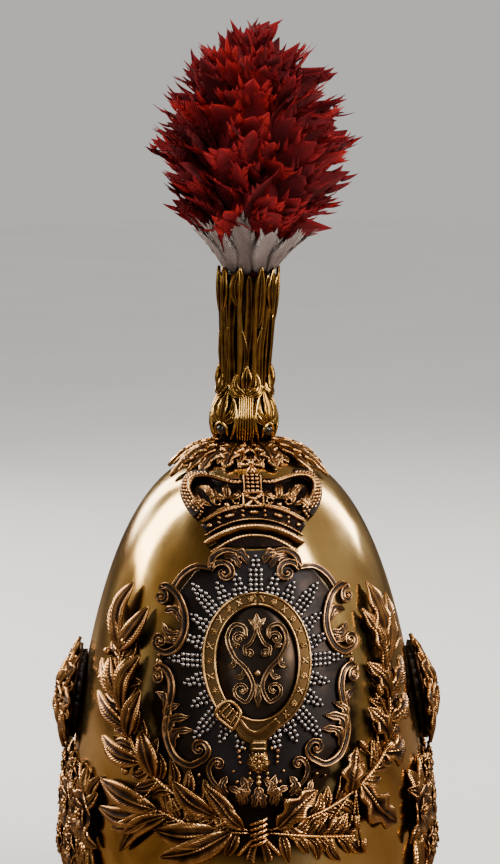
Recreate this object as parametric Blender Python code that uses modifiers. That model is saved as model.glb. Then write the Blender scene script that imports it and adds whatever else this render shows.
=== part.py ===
"""A dragoon officer's helmet: a gilt brass skull with struck ornament, a plume socket and a feather plume.

Metres, +Z up. The front faces -Y. The origin is on the surface that the two peaks rest on, under the
middle of the helmet. Ornament is modelled flat on a chart of the skull and then wrapped onto it: across is
the distance round the skull from the middle of the front, along is the distance up the front from the rim,
and lift is the distance off the metal.
"""

from math import atan2, cos, hypot, pi, radians, sin
import random

import bmesh
import bpy
from mathutils import Matrix, Vector
import numpy

# Skull
SKULL_HALF_WIDTH = 0.0945
SKULL_FRONT = 0.113
SKULL_BACK = 0.121
SKULL_HEIGHT = 0.234
SKULL_WALL = 0.0012
RIM_HEIGHT = 0.026
SIDE_POWER = 2.9
RISE_POWER = 1.87

# Space between pieces that touch, and the seat of an ornament on the skull's rounded metal
CLEARANCE = 0.0003
SEAT = 0.0007

# Peaks and their edge bindings
PEAK_END = 0.160
PEAK_WALL = 0.0012
PEAK_FLANGE = 0.007
PEAK_SPAN = radians(66)
PEAK_CONTACT = radians(41)
PEAK_DROOP = 1.2
BINDING_WALL = 0.001
BINDING_GROOVE = 0.0022
BINDING_FOOT = 0.0022

# Shield, the dark plate with its scrolls
SHIELD_FOOT = 0.072
SHIELD_HALF_WIDTH = 0.050
PLATE_WALL = 0.001
SCROLL_RADIUS = 0.0014
VOLUTE_RADIUS = 0.0036

# Star, belt and medallion
STAR_SIDE_MARGIN = 0.0055
STAR_TOP_MARGIN = 0.0021
STAR_FOOT_MARGIN = 0.0171
STAR_WALL = 0.0012
STAR_CREST = 0.0017
BELT_HALF_WIDTH = 0.0262
BELT_HALF_HEIGHT = 0.0345
BELT_WIDTH = 0.0070
BELT_WALL = 0.0020
STRAP_DROP = 0.0100
MEDALLION_WALL = 0.0012

# Crown
CROWN_FOOT = 0.1995
CROWN_HALF_WIDTH = 0.0405
CROWN_GAP = 0.01225
CROWN_ROLL_RADIUS = 0.0019
CROWN_WALL = 0.0014

# Laurel and oak sprays
SPRAY_TIE_ALONG = 0.0618
SPRAY_REACH = 0.097
SPRAY_RISE = 0.115
LAUREL_LEAF_WIDTH = 0.0100
OAK_LEAF_WIDTH = 0.0150
LEAF_EDGE = 0.0010
LEAF_RIDGE = 0.0026
STEM_RADIUS = 0.0012
BERRY_RADIUS = 0.0021
TIE_RADIUS = 0.0034

# Garlands along the sides
GARLAND_FOOT = 0.0120
GARLAND_TOP = 0.0800
GARLAND_START = radians(57)
GARLAND_WALL = 0.0012
GARLAND_RELIEF = 0.0030

# Side bosses
BOSS_HEIGHT = 0.1066
BOSS_ANGLE = radians(93)
BOSS_RADIUS = 0.0290
BOSS_DRUM_RADIUS = 0.0200
BOSS_DRUM_LENGTH = 0.0040
BOSS_RELIEF = 0.0040
BOSS_WALL = 0.0014

# Canopy of leaves on the crown of the skull
CANOPY_TIP = 0.455
CANOPY_FRONT_GAP = 0.00735
CANOPY_VALLEY = 0.20
CANOPY_HUB = 0.0050
CANOPY_EDGE = 0.0014

# Calyx, socket and plume, stacked on a seat that leans a little to one side
SOCKET_ASIDE = -0.0020
SOCKET_LEAN = radians(1.8)
CALYX_RADIUS = 0.0175
CALYX_BORE = 0.0080
CALYX_HEIGHT = 0.0270
CALYX_TIP = 0.0120
CALYX_LEAF_WALL = 0.0011
SOCKET_FOOT_RADIUS = 0.0116
SOCKET_MOUTH_RADIUS = 0.0150
SOCKET_LENGTH = 0.0630
SOCKET_WALL = 0.0015
SOCKET_FLUTE = 0.0008
PLUME_RADIUS = 0.0515
PLUME_CORE = 0.82
PLUME_CORE_HEIGHT = 0.1130
LOCK_WIDTH = 0.0220
LOCK_THICKNESS = 0.0030
LOCK_LENGTH = 0.0230
LOCK_BOW = 0.0030
WHITE_FEATHER_LENGTH = 0.0260
WHITE_FEATHER_WALL = 0.0010
WHITE_FEATHER_LEAN = 0.0028
STEM_DEPTH = 0.0500

# Counts
SKULL_COLUMNS, SKULL_ROWS = 28, 10
PEAK_COLUMNS, PEAK_ROWS = 16, 3
STAR_RAYS = 24
CANOPY_LEAVES = 8
SOCKET_FLUTES = 12
WHITE_FEATHERS = 6
ROSETTE_PETALS = 10
BELT_SIDES = 24
DRUM_SIDES = 16
GARLAND_COLUMNS, GARLAND_ROWS = 20, 3
GARLAND_BLOOMS = 5
CALYX_LEAVES = 6
PLUME_SIDES = 16
SLICE_ACROSS, SLICE_ALONG = 0.018, 0.026
NEARLY_FLAT = radians(0.5)
MERGE = 2e-6

# Half-width of the shield's plate, as shares of its half-width, against shares of its height
PLATE_OUTLINE = (
    ("up", "across"),
    ((0.03, 0.12), (0.08, 0.30), (0.13, 0.46), (0.17, 0.70), (0.22, 0.82), (0.40, 0.88), (0.50, 0.90),
     (0.54, 1.00), (0.57, 0.84), (0.63, 0.71), (0.72, 0.70), (0.80, 0.82), (0.91, 0.60), (0.93, 0.44),
     (0.98, 0.40)),
)

# Scrolls of the shield's right half: points of each rib, as shares of the half-width and of the height
SCROLLS = {
    "moulding": ((0.44, 0.93), (0.61, 0.92), (0.74, 0.87), (0.84, 0.81)),
    "top leaf": ((0.09, 0.95), (0.28, 0.965), (0.40, 0.93), (0.43, 0.88)),
    "side curl": ((0.97, 0.80), (0.86, 0.83), (0.75, 0.79), (0.70, 0.69), (0.77, 0.60), (0.95, 0.60)),
    "long curl": ((1.00, 0.48), (0.86, 0.48), (0.88, 0.35), (0.88, 0.25), (0.78, 0.185), (0.60, 0.18)),
    "foot curl": ((0.44, 0.175), (0.44, 0.12), (0.35, 0.08)),
    "fan leaf": ((0.04, 0.04), (0.16, 0.11), (0.28, 0.13)),
}
VOLUTES = ((0.31, 0.905, 1.0), (0.96, 0.79, 1.0), (0.97, 0.62, 0.9), (1.00, 0.475, 0.8), (0.56, 0.225, 1.1),
           (0.38, 0.165, 0.8), (0.98, 0.54, 0.6))

# Crown, as shares of its half-width and of its height, right half
CROWN_OUTLINE = ((0.50, 0.03), (0.60, 0.17), (0.60, 0.31), (0.80, 0.38), (1.00, 0.51), (1.00, 0.62),
                 (0.90, 0.73), (0.60, 0.79), (0.30, 0.77), (0.15, 0.79))
CROWN_ARCH = ((0.60, 0.36), (0.92, 0.50), (0.94, 0.62), (0.85, 0.71), (0.60, 0.76), (0.30, 0.74),
              (0.12, 0.72))
CROWN_ROLL = ((0.57, 0.035), (0.30, 0.165), (0.00, 0.21), (-0.30, 0.165), (-0.57, 0.035))
CROWN_BAND_RISE = 0.13
CROWN_BAND_TOP = 0.22
FLEUR = ((0.30, 0.49), (0.30, 0.63))

# Sprays: stems as shares of the sprays' reach and rise from their tie
LAUREL_STEMS = (
    ((0.05, 0.00), (0.27, 0.08), (0.49, 0.17), (0.64, 0.28), (0.73, 0.42), (0.77, 0.58), (0.77, 0.72)),
    ((0.05, -0.01), (0.28, 0.00), (0.52, 0.06)),
)
OAK_STEMS = (
    ((0.05, 0.00), (0.37, 0.08), (0.63, 0.20), (0.75, 0.31), (0.78, 0.48), (0.73, 0.64)),
    ((0.05, -0.01), (0.30, -0.04), (0.52, -0.06)),
)
# Leaves: which stem, where on it the leaf starts, where its tip lies, and its width as a share of a leaf's
LAUREL_LEAVES = (
    ("stem", "start", "across", "up", "width"),
    ((0, 0.97, 0.83, 0.92, 0.9), (0, 1.00, 0.68, 1.00, 1.0), (0, 0.98, 0.57, 0.91, 1.0),
     (0, 0.74, 0.93, 0.64, 0.8), (0, 0.76, 0.84, 0.66, 0.9), (0, 0.72, 0.70, 0.68, 1.0),
     (0, 0.68, 0.62, 0.70, 0.9), (0, 0.62, 0.95, 0.50, 0.9), (0, 0.58, 0.61, 0.55, 1.0),
     (0, 0.45, 0.88, 0.32, 1.1), (0, 0.38, 0.61, 0.38, 1.2), (1, 1.00, 0.88, 0.13, 1.3),
     (1, 1.00, 0.91, 0.01, 1.1), (1, 0.97, 0.80, -0.06, 0.9), (1, 0.90, 0.74, -0.15, 0.9),
     (0, 0.13, 0.43, 0.19, 1.1), (0, 0.04, 0.27, 0.19, 0.9), (0, 0.02, 0.19, 0.12, 0.8),
     (1, 0.30, 0.53, -0.03, 1.5), (1, 0.20, 0.50, -0.14, 1.3)),
)
OAK_LEAVES = (
    ("stem", "start", "across", "up", "width"),
    ((0, 0.03, 0.29, 0.16, 1.0), (0, 0.28, 0.52, 0.31, 1.0), (0, 0.33, 0.79, -0.05, 1.2),
     (0, 1.00, 0.65, 1.00, 1.1), (0, 0.98, 0.82, 0.93, 0.8), (0, 0.96, 0.59, 0.89, 0.7),
     (0, 0.80, 0.61, 0.66, 0.7), (0, 0.82, 0.93, 0.64, 0.9), (0, 0.69, 0.93, 0.48, 0.9),
     (0, 0.53, 0.88, 0.29, 1.1), (0, 0.60, 0.60, 0.47, 0.8)),
)
# Berries and acorns: where each stalk leaves the main stem, and where the fruit lies
LAUREL_FRUIT = ((0.86, 0.86, 0.68), (0.90, 0.72, 0.74), (0.36, 0.60, 0.09))
OAK_FRUIT = ((0.27, 0.38, 0.03), (0.31, 0.50, 0.02), (0.30, 0.54, -0.09), (0.98, 0.83, 0.69),
             (0.45, 0.56, 0.31))

# Calyx: how far up each section is, and its radius, as shares of the calyx's height and radius
CALYX_SECTIONS = (
    ("up", "radius"),
    ((0.00, 0.82), (0.14, 0.95), (0.38, 1.00), (0.66, 0.88), (1.00, 0.74)),
)

# Plume: radius of its outer form against height, both as shares
PLUME_PROFILE = (
    ("up", "radius"),
    ((0.00, 0.25), (0.06, 0.36), (0.14, 0.62), (0.28, 0.88), (0.44, 1.00), (0.62, 0.98), (0.76, 0.90),
     (0.88, 0.70), (0.96, 0.44), (1.00, 0.20)),
)
# Tiers of locks: how far up the core each is rooted, how many locks it has, and how steeply they rise,
# in degrees
LOCK_TIERS = (
    ("up", "count", "rise"),
    ((0.26, 8, 20), (0.40, 9, 38), (0.55, 9, 52), (0.70, 8, 66), (0.84, 6, 78)),
)

MODEL = bpy.data.collections.new("dragoon_helmet")


def start_empty_scene():
    for item in list(bpy.data.objects):
        bpy.data.objects.remove(item, do_unlink=True)
    bpy.context.scene.collection.children.link(MODEL)


def metal(name, colour, roughness, metallic=1.0):
    made = bpy.data.materials.new(name)
    made.use_nodes = True
    surface = made.node_tree.nodes["Principled BSDF"]
    surface.inputs["Base Color"].default_value = (*colour, 1.0)
    surface.inputs["Roughness"].default_value = roughness
    surface.inputs["Metallic"].default_value = metallic
    return made


def finish(name, shape, material, parent=None):
    """Makes a named object of a shape, smooth except at its edges."""
    bmesh.ops.recalc_face_normals(shape, faces=shape.faces)
    mesh = bpy.data.meshes.new(name)
    shape.to_mesh(mesh)
    shape.free()
    mesh.materials.append(material)
    mesh.shade_smooth()
    mesh.set_sharp_from_angle(angle=radians(35))
    made = bpy.data.objects.new(name, mesh)
    made.parent = parent
    MODEL.objects.link(made)
    return made


# The skull's form

def spread(height):
    """Share of the rim's width that the skull still has at a height above the rim."""
    share = min(max(height / SKULL_HEIGHT, 0.0), 1.0)
    return (1.0 - share ** RISE_POWER) ** (1.0 / SIDE_POWER)


def height_of_spread(share):
    return SKULL_HEIGHT * (1.0 - share ** SIDE_POWER) ** (1.0 / RISE_POWER)


def front_profile(samples=2000):
    """Heights up the front of the skull, and how far each is from the rim along the metal."""
    heights = SKULL_HEIGHT * numpy.sin(numpy.linspace(0.0, pi / 2, samples))
    reach = SKULL_FRONT * numpy.array([spread(height) for height in heights])
    steps = numpy.hypot(numpy.diff(heights), numpy.diff(reach))
    return heights, numpy.concatenate(([0.0], numpy.cumsum(steps)))


PROFILE_HEIGHTS, PROFILE_ALONG = front_profile()


def height_at(along):
    return float(numpy.interp(along, PROFILE_ALONG, PROFILE_HEIGHTS))


# What follows from neighbouring pieces: the crown ends below the canopy, the shield below the crown, the
# star inside the shield, and the canopy's two front leaves above the crown's arches

CROWN_TOP = float(numpy.interp(height_of_spread(CANOPY_VALLEY), PROFILE_HEIGHTS, PROFILE_ALONG)) - CROWN_GAP
CROWN_HEIGHT = CROWN_TOP - CROWN_FOOT
SHIELD_HEIGHT = CROWN_FOOT - CLEARANCE - SHIELD_FOOT
STAR_HALF_HEIGHT = (SHIELD_HEIGHT - STAR_TOP_MARGIN - STAR_FOOT_MARGIN) / 2
STAR_HALF_WIDTH = SHIELD_HALF_WIDTH - STAR_SIDE_MARGIN
STAR_ALONG = SHIELD_FOOT + STAR_FOOT_MARGIN + STAR_HALF_HEIGHT
ARCH_TOP = CROWN_FOOT + CROWN_HEIGHT * max(up for across, up in CROWN_OUTLINE)
CANOPY_FRONT_TIP = spread(height_at(ARCH_TOP + CANOPY_FRONT_GAP))


def skull_point(angle, height, lift=0.0):
    """A point off the skull: angle from the front, height above the rim, and distance off the metal."""
    share = spread(height)
    length = SKULL_FRONT if cos(angle) >= 0 else SKULL_BACK
    x = SKULL_HALF_WIDTH * share * sin(angle)
    y = -length * share * cos(angle)
    lean = SIDE_POWER * share ** (SIDE_POWER - 2)
    up = RISE_POWER * max(height, 0.0) ** (RISE_POWER - 1) / SKULL_HEIGHT ** RISE_POWER
    normal = Vector((lean * x / SKULL_HALF_WIDTH ** 2, lean * y / length ** 2, up)).normalized()
    return Vector((x, y, RIM_HEIGHT + height)) + normal * lift


def on_skull(point):
    """Wraps a point of the chart: across, along and lift."""
    height = height_at(point.y)
    return skull_point(point.x / (SKULL_HALF_WIDTH * spread(height)), height, point.z)


# Shapes

def relief(columns, rows, place, around=False):
    """A closed body with a face at place(a, b, 1) and a back at place(a, b, 0), a and b running from 0 to 1.

    With around, a runs right round and the sides meet. The faces are cut to triangles, so that none is bent.
    """
    shape = bmesh.new()
    bmesh.ops.create_grid(shape, x_segments=columns, y_segments=rows, size=0.5)
    if around:
        for vert in shape.verts:
            turn, reach = 2 * pi * vert.co.x, 1.5 + vert.co.y
            vert.co = (reach * cos(turn), reach * sin(turn), 0.0)
        bmesh.ops.remove_doubles(shape, verts=shape.verts, dist=1e-4)
    back = bmesh.ops.extrude_face_region(shape, geom=shape.faces[:])
    for vert in back["geom"]:
        if isinstance(vert, bmesh.types.BMVert):
            vert.co.z = -1.0
    for vert in shape.verts:
        x, y, z = vert.co
        if around:
            x, y = atan2(y, x) / (2 * pi), hypot(x, y) - 1.5
        vert.co = place(round(x + 0.5, 5), round(y + 0.5, 5), round(z + 1.0))
    weld(shape)
    set_order(shape)
    bmesh.ops.triangulate(shape, faces=shape.faces)
    return shape


def weld(shape):
    """Merges points that meet, drops the edges that this leaves bare, and turns the faces out."""
    bmesh.ops.remove_doubles(shape, verts=shape.verts, dist=MERGE)
    bare = [edge for edge in shape.edges if not edge.link_faces]
    bmesh.ops.delete(shape, geom=bare, context="EDGES")
    bmesh.ops.recalc_face_normals(shape, faces=shape.faces)


def set_order(shape):
    """Puts points, edges and faces in order along a slanting line, so that each run numbers them alike."""
    line = Vector((1.0, 17.3, 291.7))
    shape.verts.sort(key=lambda vert: vert.co.dot(line))
    shape.edges.sort(key=lambda edge: (edge.verts[0].co + edge.verts[1].co).dot(line))
    shape.faces.sort(key=lambda face: face.calc_center_median().dot(line))


def turned(columns, sections):
    """A round solid through (height, radius) sections, closed at both ends."""
    shape = bmesh.new()
    bmesh.ops.create_grid(shape, x_segments=columns, y_segments=len(sections) + 1, size=0.5)
    levels = [(sections[0][0], 0.0), *sections, (sections[-1][0], 0.0)]
    for vert in shape.verts:
        height, radius = levels[round((vert.co.y + 0.5) * (len(levels) - 1))]
        turn = 2 * pi * vert.co.x
        vert.co = (radius * cos(turn), radius * sin(turn), height)
    weld(shape)
    return shape


def evaluated_shape(item):
    """The shape that an object has after its modifiers, with the object itself taken away."""
    graph = bpy.context.evaluated_depsgraph_get()
    mesh = bpy.data.meshes.new_from_object(item.evaluated_get(graph))
    shape = bmesh.new()
    shape.from_mesh(mesh)
    bpy.data.meshes.remove(mesh)
    bpy.data.objects.remove(item, do_unlink=True)
    return shape


def from_curve(curve, points, cyclic):
    spline = curve.splines.new("POLY")
    spline.points.add(len(points) - 1)
    for knot, (across, along) in zip(spline.points, points):
        knot.co = (across, along, 0.0, 1.0)
    spline.use_cyclic_u = cyclic
    item = bpy.data.objects.new("curve", curve)
    bpy.context.scene.collection.objects.link(item)
    shape = evaluated_shape(item)
    bmesh.ops.remove_doubles(shape, verts=shape.verts, dist=MERGE)
    bpy.data.curves.remove(curve)
    return shape


def footed(shape, height):
    """Flattens the lower half of a shape that lies across zero, and brings its top to a height."""
    top = max(vert.co.z for vert in shape.verts)
    for vert in shape.verts:
        vert.co.z = round(height * max(vert.co.z / top, 0.0), 7)
    return shape


def slab(outline, height):
    """A flat piece with an outline."""
    curve = bpy.data.curves.new("outline", "CURVE")
    curve.dimensions = "2D"
    curve.fill_mode = "BOTH"
    curve.extrude = height / 2
    return footed(from_curve(curve, outline, True), height)


def rib(points, radius):
    """A ridged rib along points, as high as it is wide."""
    curve = bpy.data.curves.new("rib", "CURVE")
    curve.dimensions = "3D"
    curve.bevel_depth = radius
    curve.bevel_resolution = 0
    curve.use_fill_caps = True
    return footed(from_curve(curve, points, False), 2 * radius)


def ball(across, along, radius):
    shape = bmesh.new()
    middle = Matrix.Translation((across, along, 0.0))
    bmesh.ops.create_icosphere(shape, subdivisions=1, radius=radius, matrix=middle)
    return footed(shape, 2 * radius)


def disc(across, along, radius, height, sides=8):
    shape = bmesh.new()
    bmesh.ops.create_cone(shape, cap_ends=True, segments=sides, radius1=radius, radius2=radius * 0.8,
                          depth=height, matrix=Matrix.Translation((across, along, 0.0)))
    return footed(shape, height)


def leaf(base, tip, width, rows=3, lobes=0):
    """A leaf lying on the chart from base to tip, raised along its midrib, its sides cut into lobes."""
    axis = Vector(tip) - Vector(base)
    side = Vector((axis.y, -axis.x)).normalized()
    root = Vector(base) - axis.normalized() * STEM_RADIUS * 0.4 + side * STEM_RADIUS * 0.15

    def place(a, b, face):
        half = width / 2 * (0.14 + 0.86 * sin(pi * b ** 0.85) ** 0.8)
        if lobes:
            half *= 0.78 + 0.30 * sin(2 * pi * lobes * b)
        spot = root + axis * b + side * (half * (2 * a - 1))
        rise = LEAF_EDGE + (LEAF_RIDGE - LEAF_EDGE) * (1 - abs(2 * a - 1))
        return (spot.x, spot.y, rise * face)

    return relief(2, rows, place)


def merge_flat(shape):
    """Makes one face of each flat part of a shape."""
    bmesh.ops.dissolve_limit(shape, angle_limit=NEARLY_FLAT, verts=shape.verts, edges=shape.edges)


def fuse(shapes):
    """Joins closed shapes into one body."""
    items = []
    for shape in shapes:
        merge_flat(shape)
        mesh = bpy.data.meshes.new("shape")
        shape.to_mesh(mesh)
        shape.free()
        items.append(bpy.data.objects.new("shape", mesh))
        bpy.context.scene.collection.objects.link(items[-1])
    body = items.pop(0)
    for item in items:
        join = body.modifiers.new("join", "BOOLEAN")
        join.operation = "UNION"
        join.object = item
    joined = evaluated_shape(body)
    for item in items:
        bpy.data.objects.remove(item, do_unlink=True)
    bmesh.ops.remove_doubles(joined, verts=joined.verts, dist=MERGE)
    merge_flat(joined)
    return joined


def wrap(shape):
    """Bends a flat shape of the chart onto the skull."""
    for vert in shape.verts:
        vert.co = on_skull(vert.co)
    return shape


def sliced(shape, finer):
    """Cuts a flat shape into squares small enough to bend."""
    for axis, step in enumerate((SLICE_ACROSS / finer, SLICE_ALONG / finer)):
        low = min(vert.co[axis] for vert in shape.verts)
        high = max(vert.co[axis] for vert in shape.verts)
        cut = (low // step + 1) * step
        while cut < high:
            spot = Vector((0, 0, 0))
            spot[axis] = cut
            across = Vector((0, 0, 0))
            across[axis] = 1
            everything = shape.verts[:] + shape.edges[:] + shape.faces[:]
            bmesh.ops.bisect_plane(shape, geom=everything, dist=1e-5, plane_co=spot, plane_no=across)
            cut += step
    bmesh.ops.triangulate(shape, faces=shape.faces)
    return shape


def fuse_on_skull(shapes, back=SEAT, finer=1.0):
    """Joins flat shapes whose feet lie in one plane, and bends them onto the skull, their feet at a lift.

    Finer cuts them smaller, for the skull's rounder top.
    """
    joined = fuse(shapes)
    sliced(joined, finer)
    bmesh.ops.translate(joined, verts=joined.verts, vec=(0.0, 0.0, back))
    return wrap(joined)


def both_sides(points):
    """The points of a right half, and their mirror image."""
    return (points, [(-across, along) for across, along in points])


def share_at(table, column, where):
    """A column of a table at a value of its first column, on a straight line between rows."""
    names, rows = table
    position = names.index(column)
    return float(numpy.interp(where, [row[0] for row in rows], [row[position] for row in rows]))


# Skull and peaks

def make_skull(gilt):
    top = PROFILE_ALONG[-1]

    def place(a, b, face):
        lift = -SKULL_WALL * (1 - face)
        return skull_point(2 * pi * a, height_at(top * b), lift)

    finish("skull", relief(SKULL_COLUMNS, SKULL_ROWS, place, around=True), gilt)


def peak_reach(angle, skull_length):
    """How far the peak's sheet runs out from the rim."""
    nose = CLEARANCE + BINDING_WALL
    longest = PEAK_END - skull_length - nose
    swing = cos(min(abs(angle) / PEAK_SPAN, 1.0) * pi / 2)
    shortest = BINDING_GROOVE + 2 * PEAK_WALL
    return shortest + (longest - shortest) * max(swing, 0.0) ** 0.7


def peak_edge_height(angle):
    """Height of the middle of the peak's outer edge: level where it rests, rising to the rim at its ends."""
    rise = min(max((abs(angle) - PEAK_CONTACT) / (PEAK_SPAN - PEAK_CONTACT), 0.0), 1.0)
    smooth = rise * rise * (3 - 2 * rise)
    return BINDING_FOOT + (RIM_HEIGHT - 3 * BINDING_FOOT) * smooth


def peak_spot(angle, out, height, turn):
    """A point out from the rim. Turn is 0 for the front peak and pi for the rear one."""
    rim = skull_point(angle + turn, 0.0)
    outward = (skull_point(angle + turn, 0.0, 1.0) - rim)
    return Vector((rim.x + outward.x * out, rim.y + outward.y * out, height))


def make_peak(name, skull_length, turn, gilt):
    seat = CLEARANCE + PEAK_WALL / 2
    neck = RIM_HEIGHT - PEAK_WALL
    flange = ((seat, RIM_HEIGHT + PEAK_FLANGE), (seat, RIM_HEIGHT + PEAK_WALL))

    def place(a, b, face):
        angle = PEAK_SPAN * (2 * a - 1)
        row = round(b * (PEAK_ROWS + 2))
        if row < len(flange):
            out, height = flange[row]
        else:
            share = (row - 1) / (PEAK_ROWS + 1)
            out = seat + (peak_reach(angle, skull_length) - seat) * share
            height = neck + (peak_edge_height(angle) - neck) * share ** PEAK_DROOP
        return peak_spot(angle, out, height, turn)

    shape = relief_sheet(PEAK_COLUMNS, PEAK_ROWS + 2, place)
    made = finish(name, shape, gilt)
    wall = made.modifiers.new("wall", "SOLIDIFY")
    wall.thickness = PEAK_WALL
    wall.offset = 0.0


def relief_sheet(columns, rows, place):
    """An open sheet through place(a, b, 0)."""
    shape = bmesh.new()
    bmesh.ops.create_grid(shape, x_segments=columns, y_segments=rows, size=0.5)
    for vert in shape.verts:
        vert.co = place(vert.co.x + 0.5, vert.co.y + 0.5, 0.0)
    return shape


def binding_section(reach, edge_height):
    """The binding's section at one place along the peak: (out, height) points round a grooved strip."""
    drop = (RIM_HEIGHT - PEAK_WALL - edge_height) * PEAK_DROOP
    down = Vector((reach, -drop)).normalized()
    up = Vector((-down.y, down.x))
    edge = Vector((reach, edge_height))
    lip = PEAK_WALL / 2 + 1.5 * CLEARANCE
    mouth = edge - down * BINDING_GROOVE
    floor = edge + down * CLEARANCE
    nose = edge + down * (CLEARANCE + BINDING_WALL)
    foot = edge_height - BINDING_FOOT
    return (
        floor + up * lip,
        mouth + up * lip,
        mouth + up * (lip + BINDING_WALL),
        floor + up * (lip + BINDING_WALL),
        nose + up * lip * 0.5,
        nose - up * lip * 0.3,
        Vector((nose.x - BINDING_WALL * 0.4, foot)),
        Vector((mouth.x - up.x * lip, foot)),
        mouth - up * lip,
        floor - up * lip,
    )


def make_binding(name, skull_length, turn, gilt):
    sides = len(binding_section(1.0, 0.0))
    shape = bmesh.new()
    rings = []
    for station in range(PEAK_COLUMNS + 1):
        angle = PEAK_SPAN * (2 * station / PEAK_COLUMNS - 1)
        section = binding_section(peak_reach(angle, skull_length), peak_edge_height(angle))
        spots = [peak_spot(angle, point.x, point.y, turn) for point in section]
        rings.append([shape.verts.new(spot) for spot in spots])
    for ring, following in zip(rings, rings[1:]):
        for side in range(sides):
            beside = (side + 1) % sides
            shape.faces.new((ring[side], ring[beside], following[beside], following[side]))
    for ring in (rings[0], rings[-1]):
        shape.faces.new(ring)
    finish(name, shape, gilt)


# Ornament on the front

def make_shield(ground):
    def spot(across, up):
        return (across * SHIELD_HALF_WIDTH, SHIELD_FOOT + up * SHIELD_HEIGHT)

    right = [spot(across, up) for up, across in PLATE_OUTLINE[1]]
    outline = right + [(-across, along) for across, along in reversed(right)]
    shapes = [slab(outline, PLATE_WALL)]
    for points in SCROLLS.values():
        for side in both_sides([spot(*point) for point in points]):
            shapes.append(rib(side, SCROLL_RADIUS))
    for across, up, size in VOLUTES:
        for side in both_sides([spot(across, up)]):
            shapes.append(disc(*side[0], VOLUTE_RADIUS * size, 2.6 * SCROLL_RADIUS, 6))
    finish("shield", fuse_on_skull(shapes, SEAT, 1.3), ground)


STAR_BACK = SEAT + PLATE_WALL + 2 * CLEARANCE
BELT_BACK = STAR_BACK + STAR_CREST + CLEARANCE


def oval(turn, inset, along=STAR_ALONG):
    """A point of the belt's outline, set in by a distance."""
    return ((BELT_HALF_WIDTH - inset) * sin(turn), along + (BELT_HALF_HEIGHT - inset) * cos(turn))


def make_star(silver):
    def place(a, b, face):
        turn = 2 * pi * a
        ray = round(a * STAR_RAYS * 2)
        reach = 0.74
        if ray % 2 == 0:
            reach = 1.0 if ray % 6 == 0 else 0.80
        inner = Vector(oval(turn, BELT_WIDTH * 0.8))
        tip = Vector((STAR_HALF_WIDTH * reach * sin(turn), STAR_ALONG + STAR_HALF_HEIGHT * reach * cos(turn)))
        crest = (STAR_WALL, STAR_CREST, STAR_WALL)[round(b * 2)]
        lift = STAR_BACK + face * (crest if ray % 2 == 0 else 0.6 * STAR_WALL)
        return (*inner.lerp(tip, b), lift)

    finish("star", wrap(relief(STAR_RAYS * 2, 2, place, around=True)), silver)


def make_belt(bronze):
    section = (1.0, 0.62, 0.62, 1.0)

    def place(a, b, face):
        across, along = oval(2 * pi * a, BELT_WIDTH * b)
        return (across, along, BELT_WALL * section[round(b * 3)] * face)

    ring = relief(BELT_SIDES, 3, place, around=True)
    buckle_turn = radians(212)
    buckle = [oval(buckle_turn + step, BELT_WIDTH * inset) for step, inset in
              ((-0.13, -0.12), (0.17, -0.12), (0.17, 0.95), (-0.13, 0.95))]
    strap = [oval(radians(turn), BELT_WIDTH / 2 - drop * STRAP_DROP) for turn, drop in
             ((205, 0.0), (196, 0.18), (186, 0.34), (176, 0.30), (168, 0.10))]
    tail_left, tail_right = oval(radians(186), 0.0)[0], oval(radians(175), 0.0)[0]
    tail_top = STAR_ALONG - BELT_HALF_HEIGHT + BELT_WIDTH * 0.3
    tail_foot = STAR_ALONG - BELT_HALF_HEIGHT - STRAP_DROP * 0.6
    tail = [(tail_left, tail_top), (tail_right, tail_top), (tail_right, tail_foot), (tail_left, tail_foot)]
    shapes = [
        ring,
        slab(buckle, 1.5 * BELT_WALL),
        rib(strap, BELT_WIDTH * 0.32),
        slab(tail, 0.7 * BELT_WALL),
    ]
    finish("belt", fuse_on_skull(shapes, BELT_BACK), bronze)


def make_medallion(ground):
    inset = BELT_WIDTH + CLEARANCE
    outline = [oval(2 * pi * side / BELT_SIDES, inset) for side in range(BELT_SIDES)]
    face = BELT_BACK + MEDALLION_WALL - STAR_BACK
    half_width, half_height = BELT_HALF_WIDTH - inset, BELT_HALF_HEIGHT - inset
    shapes = [slab(outline, face)]
    tendril = ((0.10, -0.72), (0.46, -0.36), (0.48, 0.14), (0.20, 0.30))
    crook = ((0.02, 0.10), (0.10, 0.52), (0.44, 0.58))
    for points in (tendril, crook):
        placed = [(across * half_width, STAR_ALONG + up * half_height) for across, up in points]
        for side in both_sides(placed):
            shapes.append(rib(side, SCROLL_RADIUS * 0.8))
    shapes.append(disc(0.0, STAR_ALONG - 0.05 * half_height, VOLUTE_RADIUS * 0.8, face + SCROLL_RADIUS))
    finish("medallion", fuse_on_skull(shapes, STAR_BACK), ground)


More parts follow.
